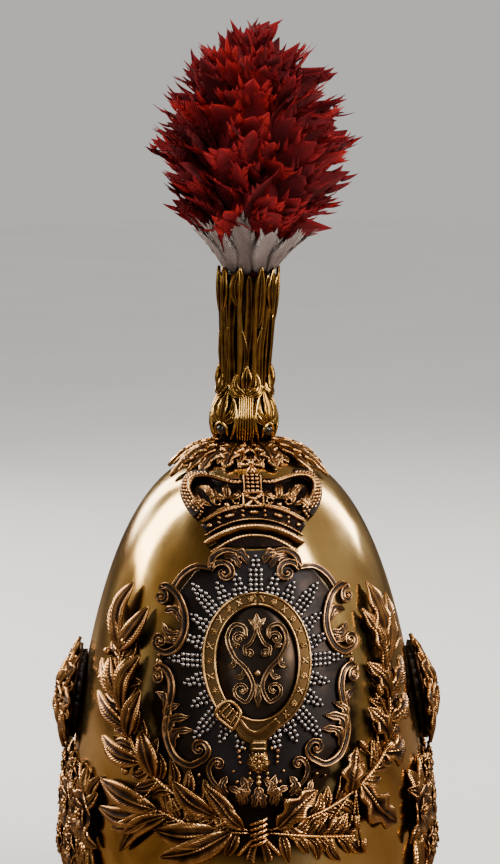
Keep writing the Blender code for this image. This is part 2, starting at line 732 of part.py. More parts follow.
def make_crown(bronze):
    def spot(across, up):
        return (across * CROWN_HALF_WIDTH, CROWN_FOOT + up * CROWN_HEIGHT)

    def ribs(points, radius):
        return [rib(side, radius) for side in both_sides([spot(*point) for point in points])]

    right = [spot(*point) for point in CROWN_OUTLINE]
    outline = right + [(-across, along) for across, along in reversed(right)]
    roll = [spot(*point) for point in CROWN_ROLL]
    band = [spot(across, up + CROWN_BAND_RISE) for across, up in CROWN_ROLL]
    rim = [spot(across * 1.04, up + CROWN_BAND_TOP) for across, up in CROWN_ROLL]
    strip = [spot(*point) for point in ((0.11, 0.40), (0.11, 0.80), (-0.11, 0.80), (-0.11, 0.40))]
    jewel = [spot(*point) for point in ((0.15, 0.40), (0.15, 0.55), (-0.15, 0.55), (-0.15, 0.40))]
    post = [spot(*point) for point in ((0.07, 0.78), (0.05, 1.00), (-0.05, 1.00), (-0.07, 0.78))]
    arms = [spot(*point) for point in ((0.15, 0.86), (0.15, 0.94), (-0.15, 0.94), (-0.15, 0.86))]
    shapes = [
        slab(outline, CROWN_WALL),
        rib(roll, CROWN_ROLL_RADIUS),
        rib(band, CROWN_ROLL_RADIUS * 0.9),
        rib(rim, CROWN_ROLL_RADIUS * 0.8),
        slab(strip, 2.0 * CROWN_WALL),
        slab(jewel, 2.6 * CROWN_WALL),
        slab(post, 1.9 * CROWN_WALL),
        slab(arms, 1.8 * CROWN_WALL),
        ball(*spot(0.0, 0.83), CROWN_ROLL_RADIUS * 1.5),
    ]
    shapes += ribs(CROWN_ARCH, CROWN_ROLL_RADIUS)
    shapes += ribs(FLEUR, CROWN_ROLL_RADIUS)
    shapes += ribs(((0.18, 0.55), (0.42, 0.55)), CROWN_ROLL_RADIUS * 0.8)
    for end in (0.57, -0.57):
        shapes.append(ball(*spot(end, 0.035), CROWN_ROLL_RADIUS * 1.1))
    finish("crown", fuse_on_skull(shapes, SEAT, 2.0), bronze)


def spray_spot(side, across, up):
    return (side * across * SPRAY_REACH, SPRAY_TIE_ALONG + up * SPRAY_RISE)


def along_stem(points, share):
    """The point that lies a share of the way along a stem."""
    lengths = [0.0]
    for start, end in zip(points, points[1:]):
        lengths.append(lengths[-1] + hypot(end[0] - start[0], end[1] - start[1]))
    reach = share * lengths[-1]
    return [float(numpy.interp(reach, lengths, values)) for values in zip(*points)]


def make_spray(name, side, stems, leaves, fruit, leaf_width, lobes, bronze):
    stems = [[spray_spot(side, *point) for point in stem] for stem in stems]
    shapes = [rib(stem, STEM_RADIUS) for stem in stems]
    rows = 2 * lobes + 1 if lobes else 2
    for stem, start, across, up, width in leaves[1]:
        base = along_stem(stems[stem], start)
        tip = spray_spot(side, across, up)
        shapes.append(leaf(base, tip, leaf_width * width, rows, lobes))
    for start, across, up in fruit:
        spot = spray_spot(side, across, up)
        shapes.append(rib([along_stem(stems[0], start), spot], STEM_RADIUS * 0.7))
        shapes.append(ball(*spot, BERRY_RADIUS))
    finish(name, fuse_on_skull(shapes), bronze)


def make_spray_tie(bronze):
    knot = [(0.0, SPRAY_TIE_ALONG + up * TIE_RADIUS) for up in (-1.6, 0.0, 1.6)]
    shapes = [rib(knot, TIE_RADIUS * 0.7)]
    for side in (1, -1):
        tail = [(side * 0.2 * TIE_RADIUS, SPRAY_TIE_ALONG - TIE_RADIUS),
                (side * 1.2 * TIE_RADIUS, SPRAY_TIE_ALONG - 4 * TIE_RADIUS)]
        shapes.append(rib(tail, TIE_RADIUS * 0.4))
    finish("spray_tie", fuse_on_skull(shapes), bronze)


def make_garland(name, side, bronze):
    sweep = pi - 2 * GARLAND_START
    height = GARLAND_TOP - GARLAND_FOOT

    def place(a, b, face):
        bloom = 0.5 + 0.5 * cos(2 * pi * GARLAND_BLOOMS * a)
        top = GARLAND_TOP - 0.10 * height * (1 - bloom)
        foot = GARLAND_FOOT + 0.12 * height * bloom
        lump = (0.5 + 0.5 * cos(4 * pi * GARLAND_BLOOMS * a)) * (0.35 + 0.65 * sin(pi * b))
        lift = SEAT + face * (GARLAND_WALL + GARLAND_RELIEF * lump * (0.6 + 0.4 * b))
        angle = GARLAND_START + sweep * a
        return skull_point(side * angle, height_at(foot + (top - foot) * b), lift)

    finish(name, relief(GARLAND_COLUMNS, GARLAND_ROWS, place), bronze)


# Side bosses

def boss_frame(side):
    """The seat of a side boss: on the skull's side, its +Z pointing off the metal."""
    angle = side * BOSS_ANGLE
    spot = skull_point(angle, BOSS_HEIGHT)
    out = (skull_point(angle, BOSS_HEIGHT, 1.0) - spot).normalized()
    return Matrix.Translation(spot) @ out.to_track_quat("Z", "Y").to_matrix().to_4x4()


def make_boss(side_name, side, dark, bronze):
    drum = bmesh.new()
    middle = Matrix.Translation((0.0, 0.0, CLEARANCE + BOSS_DRUM_LENGTH / 2))
    bmesh.ops.create_cone(drum, cap_ends=True, segments=DRUM_SIDES, radius1=BOSS_DRUM_RADIUS,
                          radius2=BOSS_DRUM_RADIUS, depth=BOSS_DRUM_LENGTH, matrix=middle)
    finish("boss_drum_" + side_name, drum, dark).matrix_world = boss_frame(side)
    back = BOSS_DRUM_LENGTH + 2 * CLEARANCE
    dome = ((0.0, 1.2), (0.26, 0.8), (0.70, 1.0), (1.0, 0.25))

    def place(a, b, face):
        petal = abs(cos(pi * ROSETTE_PETALS * a))
        share, rise = dome[round(b * (len(dome) - 1))]
        radius = BOSS_RADIUS * share * (0.88 + 0.12 * petal if share == 1.0 else 1.0)
        height = BOSS_WALL + BOSS_RELIEF * rise * (0.7 + 0.3 * petal if share > 0.3 else 1.0)
        return (radius * cos(2 * pi * a), radius * sin(2 * pi * a), back + height * face)

    rosette = relief(ROSETTE_PETALS * 2, len(dome) - 1, place, around=True)
    finish("boss_rosette_" + side_name, rosette, bronze).matrix_world = boss_frame(side)


# Canopy, calyx, socket and plume

def make_canopy(bronze):
    lobes = (0.0, 0.10, 0.66, 1.0, 0.66, 0.10)
    columns, rows = CANOPY_LEAVES * len(lobes), 3

    def place(a, b, face):
        column = round(a * columns) % columns
        in_front = column // len(lobes) in (0, CANOPY_LEAVES - 1)
        tip = CANOPY_FRONT_TIP if in_front else CANOPY_TIP
        share = CANOPY_VALLEY + (tip - CANOPY_VALLEY) * lobes[column % len(lobes)]
        raised = CANOPY_HUB + (CANOPY_EDGE - CANOPY_HUB) * b ** 1.5
        ripple = 1.0 if column % 2 else 0.72
        lift = SEAT + CLEARANCE + face * (raised if b == 0 else raised * ripple)
        return skull_point(2 * pi * a, height_of_spread(share * b), lift)

    finish("canopy", relief(columns, rows, place, around=True), bronze)


def make_socket_seat():
    """The point that the calyx stands on, leaning a little."""
    seat = bpy.data.objects.new("socket_seat", None)
    seat.location = (SOCKET_ASIDE, 0.0, RIM_HEIGHT + SKULL_HEIGHT + SEAT + CANOPY_HUB + 2 * CLEARANCE)
    seat.rotation_euler = (0.0, SOCKET_LEAN, 0.0)
    MODEL.objects.link(seat)
    return seat


SOCKET_BASE = CALYX_HEIGHT + CLEARANCE
SOCKET_TOP = SOCKET_BASE + SOCKET_LENGTH


def socket_radius(height):
    share = (height - SOCKET_BASE) / SOCKET_LENGTH
    return SOCKET_FOOT_RADIUS + (SOCKET_MOUTH_RADIUS - SOCKET_FOOT_RADIUS) * share


def make_calyx(gilt, seat):
    rows = CALYX_SECTIONS[1]

    def place(a, b, face):
        turn = 2 * pi * a
        row = round(b * (len(rows) + 1))
        lobe = abs(cos(turn * CALYX_LEAVES / 2))
        if row < len(rows):
            up, radius = rows[row]
            height = up * CALYX_HEIGHT
            radius = CALYX_RADIUS * radius * (0.95 + 0.05 * lobe) if face else CALYX_BORE
        else:
            top = row == len(rows) + 1
            height = CALYX_HEIGHT + (CALYX_TIP * (0.45 + 0.55 * lobe) if top else CLEARANCE)
            radius = socket_radius(height) + SOCKET_FLUTE + CLEARANCE
            radius += CALYX_LEAF_WALL * face * (0.5 if top else 1.0)
        return (radius * cos(turn), radius * sin(turn), height)

    finish("calyx", relief(CALYX_LEAVES * 3, len(rows) + 1, place, around=True), gilt, seat)


def make_plume_socket(gilt, seat):
    def place(a, b, face):
        turn = 2 * pi * a
        flute = cos(turn * SOCKET_FLUTES)
        height = SOCKET_BASE + CLEARANCE + (SOCKET_LENGTH - CLEARANCE) * b
        radius = socket_radius(height)
        if b == 1.0:
            height -= 2 * SOCKET_WALL * (0.5 - 0.5 * flute)
        radius += SOCKET_FLUTE * flute if face else -SOCKET_WALL
        return (radius * cos(turn), radius * sin(turn), height)

    finish("plume_socket", relief(SOCKET_FLUTES * 2, 2, place, around=True), gilt, seat)


def core_radius(rise):
    """Radius of the plume's solid core at a height above the socket's mouth."""
    return PLUME_CORE * PLUME_RADIUS * share_at(PLUME_PROFILE, "radius", rise / PLUME_CORE_HEIGHT)


def make_plume_white(white, seat):
    rows = 3
    foot = SOCKET_TOP - 4 * SOCKET_WALL

    def place(a, b, face):
        turn = 2 * pi * a
        feather = 0.5 + 0.5 * cos(turn * WHITE_FEATHERS)
        length = WHITE_FEATHER_LENGTH * (0.12 + 0.88 * feather ** 1.5)
        height = (foot, SOCKET_TOP, SOCKET_TOP + length / 2, SOCKET_TOP + length)[round(b * rows)]
        inside = socket_radius(SOCKET_BASE) - SOCKET_WALL
        radius = max(core_radius(height - SOCKET_TOP) + 2 * CLEARANCE, inside + CLEARANCE)
        radius += WHITE_FEATHER_LEAN * b ** 3 + WHITE_FEATHER_WALL * face * (1.0 if b < 1.0 else 0.5)
        return (radius * cos(turn), radius * sin(turn), height)

    finish("plume_white", relief(WHITE_FEATHERS * 4, rows, place, around=True), white, seat)


def lock(root, tip, width, droop):
    """A tapering lock from a root inside the plume to a tip outside it."""
    axis = tip - root
    side = Vector((-root.y, root.x, 0.0)).normalized()
    off = side.cross(axis).normalized()

    def place(a, b, face):
        half = width / 2 * (1.0, 0.8, 0.08)[round(b * 2)]
        bow = off * (droop * sin(pi * b))
        thick = off * (LOCK_THICKNESS * (1 - 0.85 * b) * (face - 0.5))
        return root + axis * b + side * (half * (2 * a - 1)) + bow + thick

    return relief(1, 2, place)


def make_plume_red(red, seat):
    rng = random.Random(7)
    stem = SOCKET_FOOT_RADIUS - SOCKET_WALL - CLEARANCE
    sections = [(SOCKET_TOP - STEM_DEPTH, stem), (SOCKET_TOP, stem)]
    for row in PLUME_PROFILE[1][1:]:
        rise = row[0] * PLUME_CORE_HEIGHT
        sections.append((SOCKET_TOP + rise, max(core_radius(rise), stem)))
    shapes = [turned(PLUME_SIDES, sections)]
    for tier, (up, count, rise) in enumerate(LOCK_TIERS[1]):
        for place_in_tier in range(count):
            turn = 2 * pi * (place_in_tier + 0.5 * (tier % 2) + rng.uniform(-0.12, 0.12)) / count
            climb = radians(rise + rng.uniform(-6, 6))
            outward = Vector((cos(turn), sin(turn), 0.0))
            rise_of_root = up * PLUME_CORE_HEIGHT
            root = outward * core_radius(rise_of_root) * 0.8 + Vector((0, 0, SOCKET_TOP + rise_of_root))
            length = LOCK_LENGTH * rng.uniform(0.85, 1.1)
            tip = root + (outward * cos(climb) + Vector((0, 0, 1)) * sin(climb)) * length
            shapes.append(lock(root, tip, LOCK_WIDTH * rng.uniform(0.85, 1.15), LOCK_BOW))
    finish("plume_red", fuse(shapes), red, seat)


def build():
    start_empty_scene()
    gilt = metal("gilt_brass", (0.80, 0.58, 0.26), 0.22)
    bronze = metal("copper_bronze", (0.48, 0.26, 0.11), 0.35)
    ground = metal("dark_patina", (0.05, 0.035, 0.025), 0.55)
    silver = metal("silver", (0.62, 0.58, 0.54), 0.30)
    gold = metal("gold", (0.85, 0.55, 0.14), 0.25)
    red = metal("red_feather", (0.45, 0.012, 0.018), 0.80, 0.0)
    white = metal("white_feather", (0.62, 0.52, 0.48), 0.85, 0.0)

    make_skull(gilt)
    for name, length, turn in (("front_peak", SKULL_FRONT, 0.0), ("rear_peak", SKULL_BACK, pi)):
        make_peak(name, length, turn, gilt)
        make_binding(name + "_binding", length, turn, gilt)
    make_shield(ground)
    make_star(silver)
    make_belt(bronze)
    make_medallion(ground)
    make_crown(bronze)
    make_spray("laurel_spray", -1, LAUREL_STEMS, LAUREL_LEAVES, LAUREL_FRUIT, LAUREL_LEAF_WIDTH, 0, bronze)
    make_spray("oak_spray", 1, OAK_STEMS, OAK_LEAVES, OAK_FRUIT, OAK_LEAF_WIDTH, 2, bronze)
    make_spray_tie(bronze)
    make_garland("garland_left", -1, bronze)
    make_garland("garland_right", 1, bronze)
    make_boss("left", -1, ground, bronze)
    make_boss("right", 1, ground, bronze)
    make_canopy(bronze)
    seat = make_socket_seat()
    make_calyx(gold, seat)
    make_plume_socket(gold, seat)
    make_plume_white(white, seat)
    make_plume_red(red, seat)


build()
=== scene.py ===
"""The looks of a gilt brass dragoon officer's helmet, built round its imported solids.

Metres, +Z up, the front towards -Y. Ornament is modelled flat on a chart of the skull and then wrapped onto
it: across is the distance round the skull from the middle of the front, along is the distance up the front
from the rim, and lift is the distance off the metal.
"""

from math import atan2, cos, hypot, pi, radians, sin
import random

import bmesh
import bpy
import numpy
from mathutils import Matrix, Vector


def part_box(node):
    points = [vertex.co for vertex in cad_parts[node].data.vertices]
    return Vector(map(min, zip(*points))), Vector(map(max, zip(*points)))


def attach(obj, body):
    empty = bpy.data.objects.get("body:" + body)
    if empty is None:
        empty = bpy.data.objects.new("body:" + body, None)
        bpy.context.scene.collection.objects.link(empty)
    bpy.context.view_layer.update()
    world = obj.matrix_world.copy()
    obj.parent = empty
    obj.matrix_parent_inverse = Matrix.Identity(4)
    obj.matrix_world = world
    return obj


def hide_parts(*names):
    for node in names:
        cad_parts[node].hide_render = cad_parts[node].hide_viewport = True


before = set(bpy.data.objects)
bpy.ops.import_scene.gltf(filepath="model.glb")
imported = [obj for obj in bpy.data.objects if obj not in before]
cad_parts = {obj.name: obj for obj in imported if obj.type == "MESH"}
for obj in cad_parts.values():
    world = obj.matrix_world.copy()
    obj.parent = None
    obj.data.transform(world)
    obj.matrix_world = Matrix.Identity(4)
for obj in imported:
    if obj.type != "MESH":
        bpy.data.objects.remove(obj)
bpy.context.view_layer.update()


# Camera. It stands a little above the helmet and just left of its front, as the photograph was taken, and
# its frame cuts the helmet off below the ornament.
PICTURE_HEIGHT = 864
CAMERA_AZIMUTH, CAMERA_ELEVATION = radians(-3), radians(7)
CAMERA_DISTANCE, CAMERA_RANGE = 1.6, 50.0
CAMERA_TARGET = Vector((0.0015, 0.0, 0.2696))
METRES_PER_PIXEL = 0.000515
SENSOR = 36.0

camera_data = bpy.data.cameras.new("camera")
camera_data.sensor_fit = "VERTICAL"
camera_data.sensor_height = SENSOR
camera_data.lens = SENSOR * CAMERA_DISTANCE / (PICTURE_HEIGHT * METRES_PER_PIXEL)
camera_data.clip_end = CAMERA_RANGE
camera = bpy.data.objects.new("camera", camera_data)
bpy.context.scene.collection.objects.link(camera)
look = Vector((sin(CAMERA_AZIMUTH) * cos(CAMERA_ELEVATION), -cos(CAMERA_AZIMUTH) * cos(CAMERA_ELEVATION),
               sin(CAMERA_ELEVATION)))
camera.location = CAMERA_TARGET + look * CAMERA_DISTANCE
camera.rotation_euler = look.to_track_quat("Z", "Y").to_euler()
bpy.context.scene.camera = camera


# Skull. The bowl is one sheet of brass, raised, gilt and polished by hand until it mirrors the room, with
# shallow ripples and brown stains where the polish has worn. It is open below for the head.
skull_low, skull_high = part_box("skull")
HALF_WIDTH, FRONT, BACK = skull_high.x, -skull_low.y, skull_high.y
RIM, RISE = skull_low.z, skull_high.z - skull_low.z
SIDE_POWER, RISE_POWER = 2.9, 1.87
SKULL_WALL = 0.0012
SKULL_COLUMNS, SKULL_ROWS = 180, 90
MERGE = 1e-6


def spread(height):
    """Share of the rim's width that the skull still has at a height above the rim."""
    share = numpy.clip(height / RISE, 0.0, 1.0)
    return (1.0 - share ** RISE_POWER) ** (1.0 / SIDE_POWER)


def height_of_spread(share):
    return RISE * (1.0 - numpy.clip(share, 0.0, 1.0) ** SIDE_POWER) ** (1.0 / RISE_POWER)


# The front's profile in fine steps: heights above the rim, and distances from it along the metal
PROFILE_HEIGHTS = RISE * numpy.sin(numpy.linspace(0.0, pi / 2, 3000))
PROFILE_STEPS = numpy.hypot(numpy.diff(PROFILE_HEIGHTS), numpy.diff(FRONT * spread(PROFILE_HEIGHTS)))
PROFILE_ALONG = numpy.concatenate(([0.0], numpy.cumsum(PROFILE_STEPS)))


def off_skull(angle, height, lift):
    """Points off the skull: angle from the front, height above the rim, and distance off the metal."""
    share = spread(height)
    length = numpy.where(numpy.cos(angle) >= 0, FRONT, BACK)
    x = HALF_WIDTH * share * numpy.sin(angle)
    y = -length * share * numpy.cos(angle)
    lean = SIDE_POWER * share ** (SIDE_POWER - 2)
    up = RISE_POWER * numpy.maximum(height, 0.0) ** (RISE_POWER - 1) / RISE ** RISE_POWER
    normal = numpy.stack((lean * x / HALF_WIDTH ** 2, lean * y / length ** 2, up), axis=-1)
    normal /= numpy.linalg.norm(normal, axis=-1, keepdims=True)
    return numpy.stack((x, y, RIM + height), axis=-1) + normal * numpy.asarray(lift)[..., None]


def from_chart(points):
    """Wraps points of the chart, across, along and lift, onto the skull."""
    height = numpy.interp(points[:, 1], PROFILE_ALONG, PROFILE_HEIGHTS)
    return off_skull(points[:, 0] / (HALF_WIDTH * spread(height)), height, points[:, 2])


def from_plan(points):
    """Lifts points of the plan onto the skull's top: x and y as seen from above, and lift."""
    length = numpy.where(points[:, 1] <= 0, FRONT, BACK)
    share = numpy.hypot(points[:, 0] / HALF_WIDTH, points[:, 1] / length)
    angle = numpy.arctan2(points[:, 0] / HALF_WIDTH, -points[:, 1] / length)
    return off_skull(angle, height_of_spread(share), points[:, 2])


def sheet(columns, rows, place):
    """A grid of points placed by a function of two shares."""
    shape = bmesh.new()
    bmesh.ops.create_grid(shape, x_segments=columns, y_segments=rows, size=0.5)
    for vert in shape.verts:
        vert.co = place(vert.co.x + 0.5, vert.co.y + 0.5)
    bmesh.ops.remove_doubles(shape, verts=shape.verts, dist=MERGE)
    bmesh.ops.recalc_face_normals(shape, faces=shape.faces)
    return shape


def piece(name, shape, material, slot, *nodes, bend=None):
    """Makes a finished piece of a shape, bent by a function of its points, in place of some of the solids."""
    mesh = bpy.data.meshes.new(name)
    shape.to_mesh(mesh)
    shape.free()
    if bend:
        points = numpy.empty(len(mesh.vertices) * 3)
        mesh.vertices.foreach_get("co", points)
        mesh.vertices.foreach_set("co", bend(points.reshape(-1, 3)).ravel())
    mesh.materials.append(material)
    mesh.shade_smooth()
    made = bpy.data.objects.new(name, mesh)
    bpy.context.scene.collection.objects.link(made)
    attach(made, "root")
    if nodes:
        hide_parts(*nodes)
    return made


def surface(name):
    """A new material, its node tree and its shader."""
    material = bpy.data.materials.new(name)
    material.use_nodes = True
    return material, material.node_tree, material.node_tree.nodes["Principled BSDF"]


def noise(tree, scale, detail=3.0, stretch=(1.0, 1.0, 1.0), distortion=0.0):
    """A noise pattern on the object's own coordinates."""
    place = tree.nodes.new("ShaderNodeTexCoord")
    turn = tree.nodes.new("ShaderNodeMapping")
    turn.inputs["Scale"].default_value = stretch
    tree.links.new(place.outputs["Object"], turn.inputs["Vector"])
    pattern = tree.nodes.new("ShaderNodeTexNoise")
    pattern.inputs["Scale"].default_value = scale
    pattern.inputs["Detail"].default_value = detail
    pattern.inputs["Distortion"].default_value = distortion
    tree.links.new(turn.outputs["Vector"], pattern.inputs["Vector"])
    return pattern.outputs["Fac"]


def ramp(tree, value, *stops):
    """Colours against a value: each stop is a place and a colour."""
    made = tree.nodes.new("ShaderNodeValToRGB")
    elements = made.color_ramp.elements
    while len(elements) < len(stops):
        elements.new(0.5)
    for element, (place, colour) in zip(elements, stops):
        element.position = place
        element.color = (*colour, 1.0)
    tree.links.new(value, made.inputs["Fac"])
    return made.outputs["Color"]


def mathematics(tree, operation, first, second=0.0, third=None):
    """A sum on values; each may be a socket or a number."""
    made = tree.nodes.new("ShaderNodeMath")
    made.operation = operation
    values = (first, second) if third is None else (first, second, third)
    for socket, value in zip(made.inputs, values):
        if isinstance(value, (int, float)):
            socket.default_value = value
        else:
            tree.links.new(value, socket)
    return made.outputs["Value"]


def between(tree, value, low, high):
    """A value from 0 to 1 spread between two numbers."""
    return mathematics(tree, "MULTIPLY_ADD", value, high - low, low)


def bump(tree, height, strength, distance, below=None):
    made = tree.nodes.new("ShaderNodeBump")
    made.inputs["Strength"].default_value = strength
    made.inputs["Distance"].default_value = distance
    tree.links.new(height, made.inputs["Height"])
    if below:
        tree.links.new(below, made.inputs["Normal"])
    return made.outputs["Normal"]


def attribute(tree, name):
    """A value that the points of a mesh carry."""
    made = tree.nodes.new("ShaderNodeAttribute")
    made.attribute_name = name
    return made.outputs["Fac"]


def mix(tree, factor, first, second):
    """A colour between two, by a factor. Each colour is a socket or three numbers."""
    made = tree.nodes.new("ShaderNodeMix")
    made.data_type = "RGBA"
    tree.links.new(factor, made.inputs["Factor"])
    for name, colour in (("A", first), ("B", second)):
        if isinstance(colour, tuple):
            made.inputs[name].default_value = (*colour, 1.0)
        else:
            tree.links.new(colour, made.inputs[name])
    return made.outputs["Result"]


def gilt_brass():
    """Polished gilt brass: pale gold, browned in clouds, finely scratched, with hand-raised ripples."""
    material, tree, shader = surface("gilt_brass")
    clouds = noise(tree, 13.0, 5.0, distortion=0.9)
    tint = ramp(tree, clouds, (0.30, (0.24, 0.115, 0.025)), (0.44, (0.62, 0.36, 0.095)),
                (0.60, (0.88, 0.61, 0.24)), (0.80, (0.96, 0.77, 0.43)))
    patches = between(tree, noise(tree, 60.0, 5.0), 0.5, 1.5)
    # Grime and painted shade round the front ornament darken the brass nearly to black.
    grime_and_shade = mathematics(tree, "MULTIPLY", attribute(tree, "grime_and_shade"), patches)
    tree.links.new(mix(tree, grime_and_shade, tint, (0.016, 0.009, 0.005)), shader.inputs["Base Color"])
    shader.inputs["Metallic"].default_value = 1.0
    smears = noise(tree, 55.0, 5.0, stretch=(1.0, 1.0, 0.35))
    dull = mathematics(tree, "MULTIPLY_ADD", grime_and_shade, 0.25, between(tree, smears, 0.02, 0.32))
    tree.links.new(dull, shader.inputs["Roughness"])
    ripples = bump(tree, noise(tree, 15.0, 2.0), 0.80, 0.0020)
    scratches = noise(tree, 700.0, 3.0, stretch=(1.0, 1.0, 0.08))
    tree.links.new(bump(tree, scratches, 0.06, 0.0002, ripples), shader.inputs["Normal"])
    return material


GILT = gilt_brass()


def skull_spot(a, b):
    height = numpy.interp(PROFILE_ALONG[-1] * b, PROFILE_ALONG, PROFILE_HEIGHTS)
    return off_skull(2 * pi * a, height, 0.0)


def walled(made, thickness, offset):
    """Gives a piece that is made as one sheet its wall, inward at -1 and both ways at 0."""
    wall = made.modifiers.new("wall", "SOLIDIFY")
    wall.thickness = thickness
    wall.offset = offset


# Grime where polish never reaches, and painted shade between the pieces, round the ornament on the front:
# middle and half-size of the patch on the chart, and how sharply it ends
GRIME_AND_SHADE_ALONG, GRIME_AND_SHADE_HALF_WIDTH, GRIME_AND_SHADE_HALF_HEIGHT = 0.116, 0.070, 0.084
GRIME_AND_SHADE_EDGE = 4.0

bowl = sheet(SKULL_COLUMNS, SKULL_ROWS, skull_spot)
grime_and_shade_layer = bowl.verts.layers.float.new("grime_and_shade")
spots = numpy.array([vert.co for vert in bowl.verts])
up = spots[:, 2] - RIM
across = numpy.arctan2(spots[:, 0] / HALF_WIDTH, -spots[:, 1] / FRONT) * HALF_WIDTH * spread(up)
along = numpy.interp(up, PROFILE_HEIGHTS, PROFILE_ALONG)
reach = numpy.hypot(across / GRIME_AND_SHADE_HALF_WIDTH, (along - GRIME_AND_SHADE_ALONG) / GRIME_AND_SHADE_HALF_HEIGHT)
for vert, share in zip(bowl.verts, numpy.clip((1.0 - reach) * GRIME_AND_SHADE_EDGE, 0.0, 1.0)):
    vert[grime_and_shade_layer] = share
walled(piece("skull_bowl", bowl, GILT, "gilt_brass", "skull"), SKULL_WALL, -1.0)


# Peaks and their edge bindings. Two gilt brass peaks, in front and behind, are riveted to the rim by their
# flanges, and a grooved strip of the same metal binds each edge. The helmet rests on these strips.
PEAK_WALL, PEAK_FLANGE = 0.0012, 0.007
PEAK_SPAN, PEAK_CONTACT = radians(66), radians(41)
PEAK_DROOP, PEAK_FULLNESS = 1.2, 0.7
PEAK_SEAT = 0.0009
BINDING_WALL, BINDING_GROOVE, BINDING_FOOT = 0.0010, 0.0022, 0.0022
CLEARANCE = 0.0003
PEAK_COLUMNS, PEAK_ROWS = 96, 14


def longest_reach(node):
    """How far the sheet of a peak runs out at its middle, inside its binding."""
    low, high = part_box(node)
    return max(-low.y - FRONT, high.y - BACK) - BINDING_WALL - CLEARANCE


def peak_reach(angle, longest):
    """How far a peak's sheet runs out from the rim."""
    swing = cos(min(abs(angle) / PEAK_SPAN, 1.0) * pi / 2)
    shortest = BINDING_GROOVE + 2 * PEAK_WALL
    return shortest + (longest - shortest) * max(swing, 0.0) ** PEAK_FULLNESS


def peak_edge_height(angle):
    """Height of the middle of a peak's edge: level where it rests, rising to the rim at its ends."""
    rise = min(max((abs(angle) - PEAK_CONTACT) / (PEAK_SPAN - PEAK_CONTACT), 0.0), 1.0)
    return BINDING_FOOT + (RIM - 3 * BINDING_FOOT) * rise * rise * (3 - 2 * rise)


def off_rim(angle, out, height):
    """A point out from the rim, at a height above the floor."""
    rim = off_skull(angle, 0.0, 0.0)
    outward = off_skull(angle, 0.0, 1.0) - rim
    return Vector((*(rim + outward * out)[:2], height))


def peak(name, node, binding_node, turn):
    neck = RIM - PEAK_WALL
    longest = longest_reach(binding_node)
    flange = [(PEAK_SEAT, RIM + up) for up in (PEAK_FLANGE, PEAK_FLANGE / 2, PEAK_WALL)]

    def place(a, b):
        angle = PEAK_SPAN * (2 * a - 1)
        row = round(b * (PEAK_ROWS + len(flange)))
        if row < len(flange):
            return off_rim(angle + turn, *flange[row])
        share = (row - len(flange) + 1) / (PEAK_ROWS + 1)
        out = PEAK_SEAT + (peak_reach(angle, longest) - PEAK_SEAT) * share
        return off_rim(angle + turn, out, neck + (peak_edge_height(angle) - neck) * share ** PEAK_DROOP)

    made = piece(name, sheet(PEAK_COLUMNS, PEAK_ROWS + len(flange), place), GILT, "gilt_brass", node)
    walled(made, PEAK_WALL, 0.0)


def binding(name, node, turn):
    """The strip round a peak's edge, rounded outside and flat underneath where the helmet rests on it."""
    lip = PEAK_WALL / 2 + 1.5 * CLEARANCE
    longest = longest_reach(node)

    def section(angle):
        reach, edge_height = peak_reach(angle, longest), peak_edge_height(angle)
        down = Vector((reach, -(RIM - PEAK_WALL - edge_height) * PEAK_DROOP)).normalized()
        up = Vector((-down.y, down.x))
        edge = Vector((reach, edge_height))
        mouth, floor = edge - down * BINDING_GROOVE, edge + down * CLEARANCE
        nose = edge + down * (CLEARANCE + BINDING_WALL)
        foot = edge_height - BINDING_FOOT
        return (floor + up * lip, mouth + up * lip, mouth + up * (lip + 0.6 * BINDING_WALL),
                mouth + down * 0.3 * BINDING_GROOVE + up * (lip + BINDING_WALL),
                floor + up * (lip + BINDING_WALL), nose - down * 0.3 * BINDING_WALL + up * lip * 1.2,
                nose + up * lip * 0.4, nose - up * lip * 0.3, Vector((nose.x - BINDING_WALL * 0.4, foot)),
                Vector((mouth.x - up.x * lip, foot)), mouth - up * lip, floor - up * lip)

    sides = len(section(0.0))

    def place(a, b):
        station = min(max(round(a * (PEAK_COLUMNS + 2)) - 1, 0), PEAK_COLUMNS)
        angle = PEAK_SPAN * (2 * station / PEAK_COLUMNS - 1)
        points = section(angle)
        point = points[round(b * sides) % sides]
        if not 0 < round(a * (PEAK_COLUMNS + 2)) < PEAK_COLUMNS + 2:
            point = sum(points, Vector((0.0, 0.0))) / sides
        return off_rim(angle + turn, *point)

    piece(name, sheet(PEAK_COLUMNS + 2, sides, place), GILT, "gilt_brass", node)


peak("front_peak_sheet", "front_peak", "front_peak_binding", 0.0)
peak("rear_peak_sheet", "rear_peak", "rear_peak_binding", pi)
binding("front_binding", "front_peak_binding", 0.0)
binding("rear_binding", "rear_peak_binding", pi)


# Shield. A cast cartouche plate, patinated nearly black, with double-lined mouldings and scrolls that
# end in volutes, acanthus leaves and beads, all rubbed bright. It is pinned to the front of the skull.
SHIELD_FOOT, SHIELD_TOP = 0.072, 0.199
SHIELD_HALF_WIDTH = 0.050
PLATE_LIFT = 0.0016

# Half-width of the plate, as shares of its half-width, against shares of its height
PLATE_OUTLINE = ((0.00, 0.04), (0.03, 0.12), (0.08, 0.30), (0.13, 0.46), (0.17, 0.70), (0.22, 0.82),
                 (0.40, 0.88), (0.50, 0.90), (0.54, 0.98), (0.57, 0.84), (0.63, 0.71), (0.72, 0.70),
                 (0.80, 0.82), (0.91, 0.60), (0.93, 0.44), (0.98, 0.40), (1.00, 0.30))
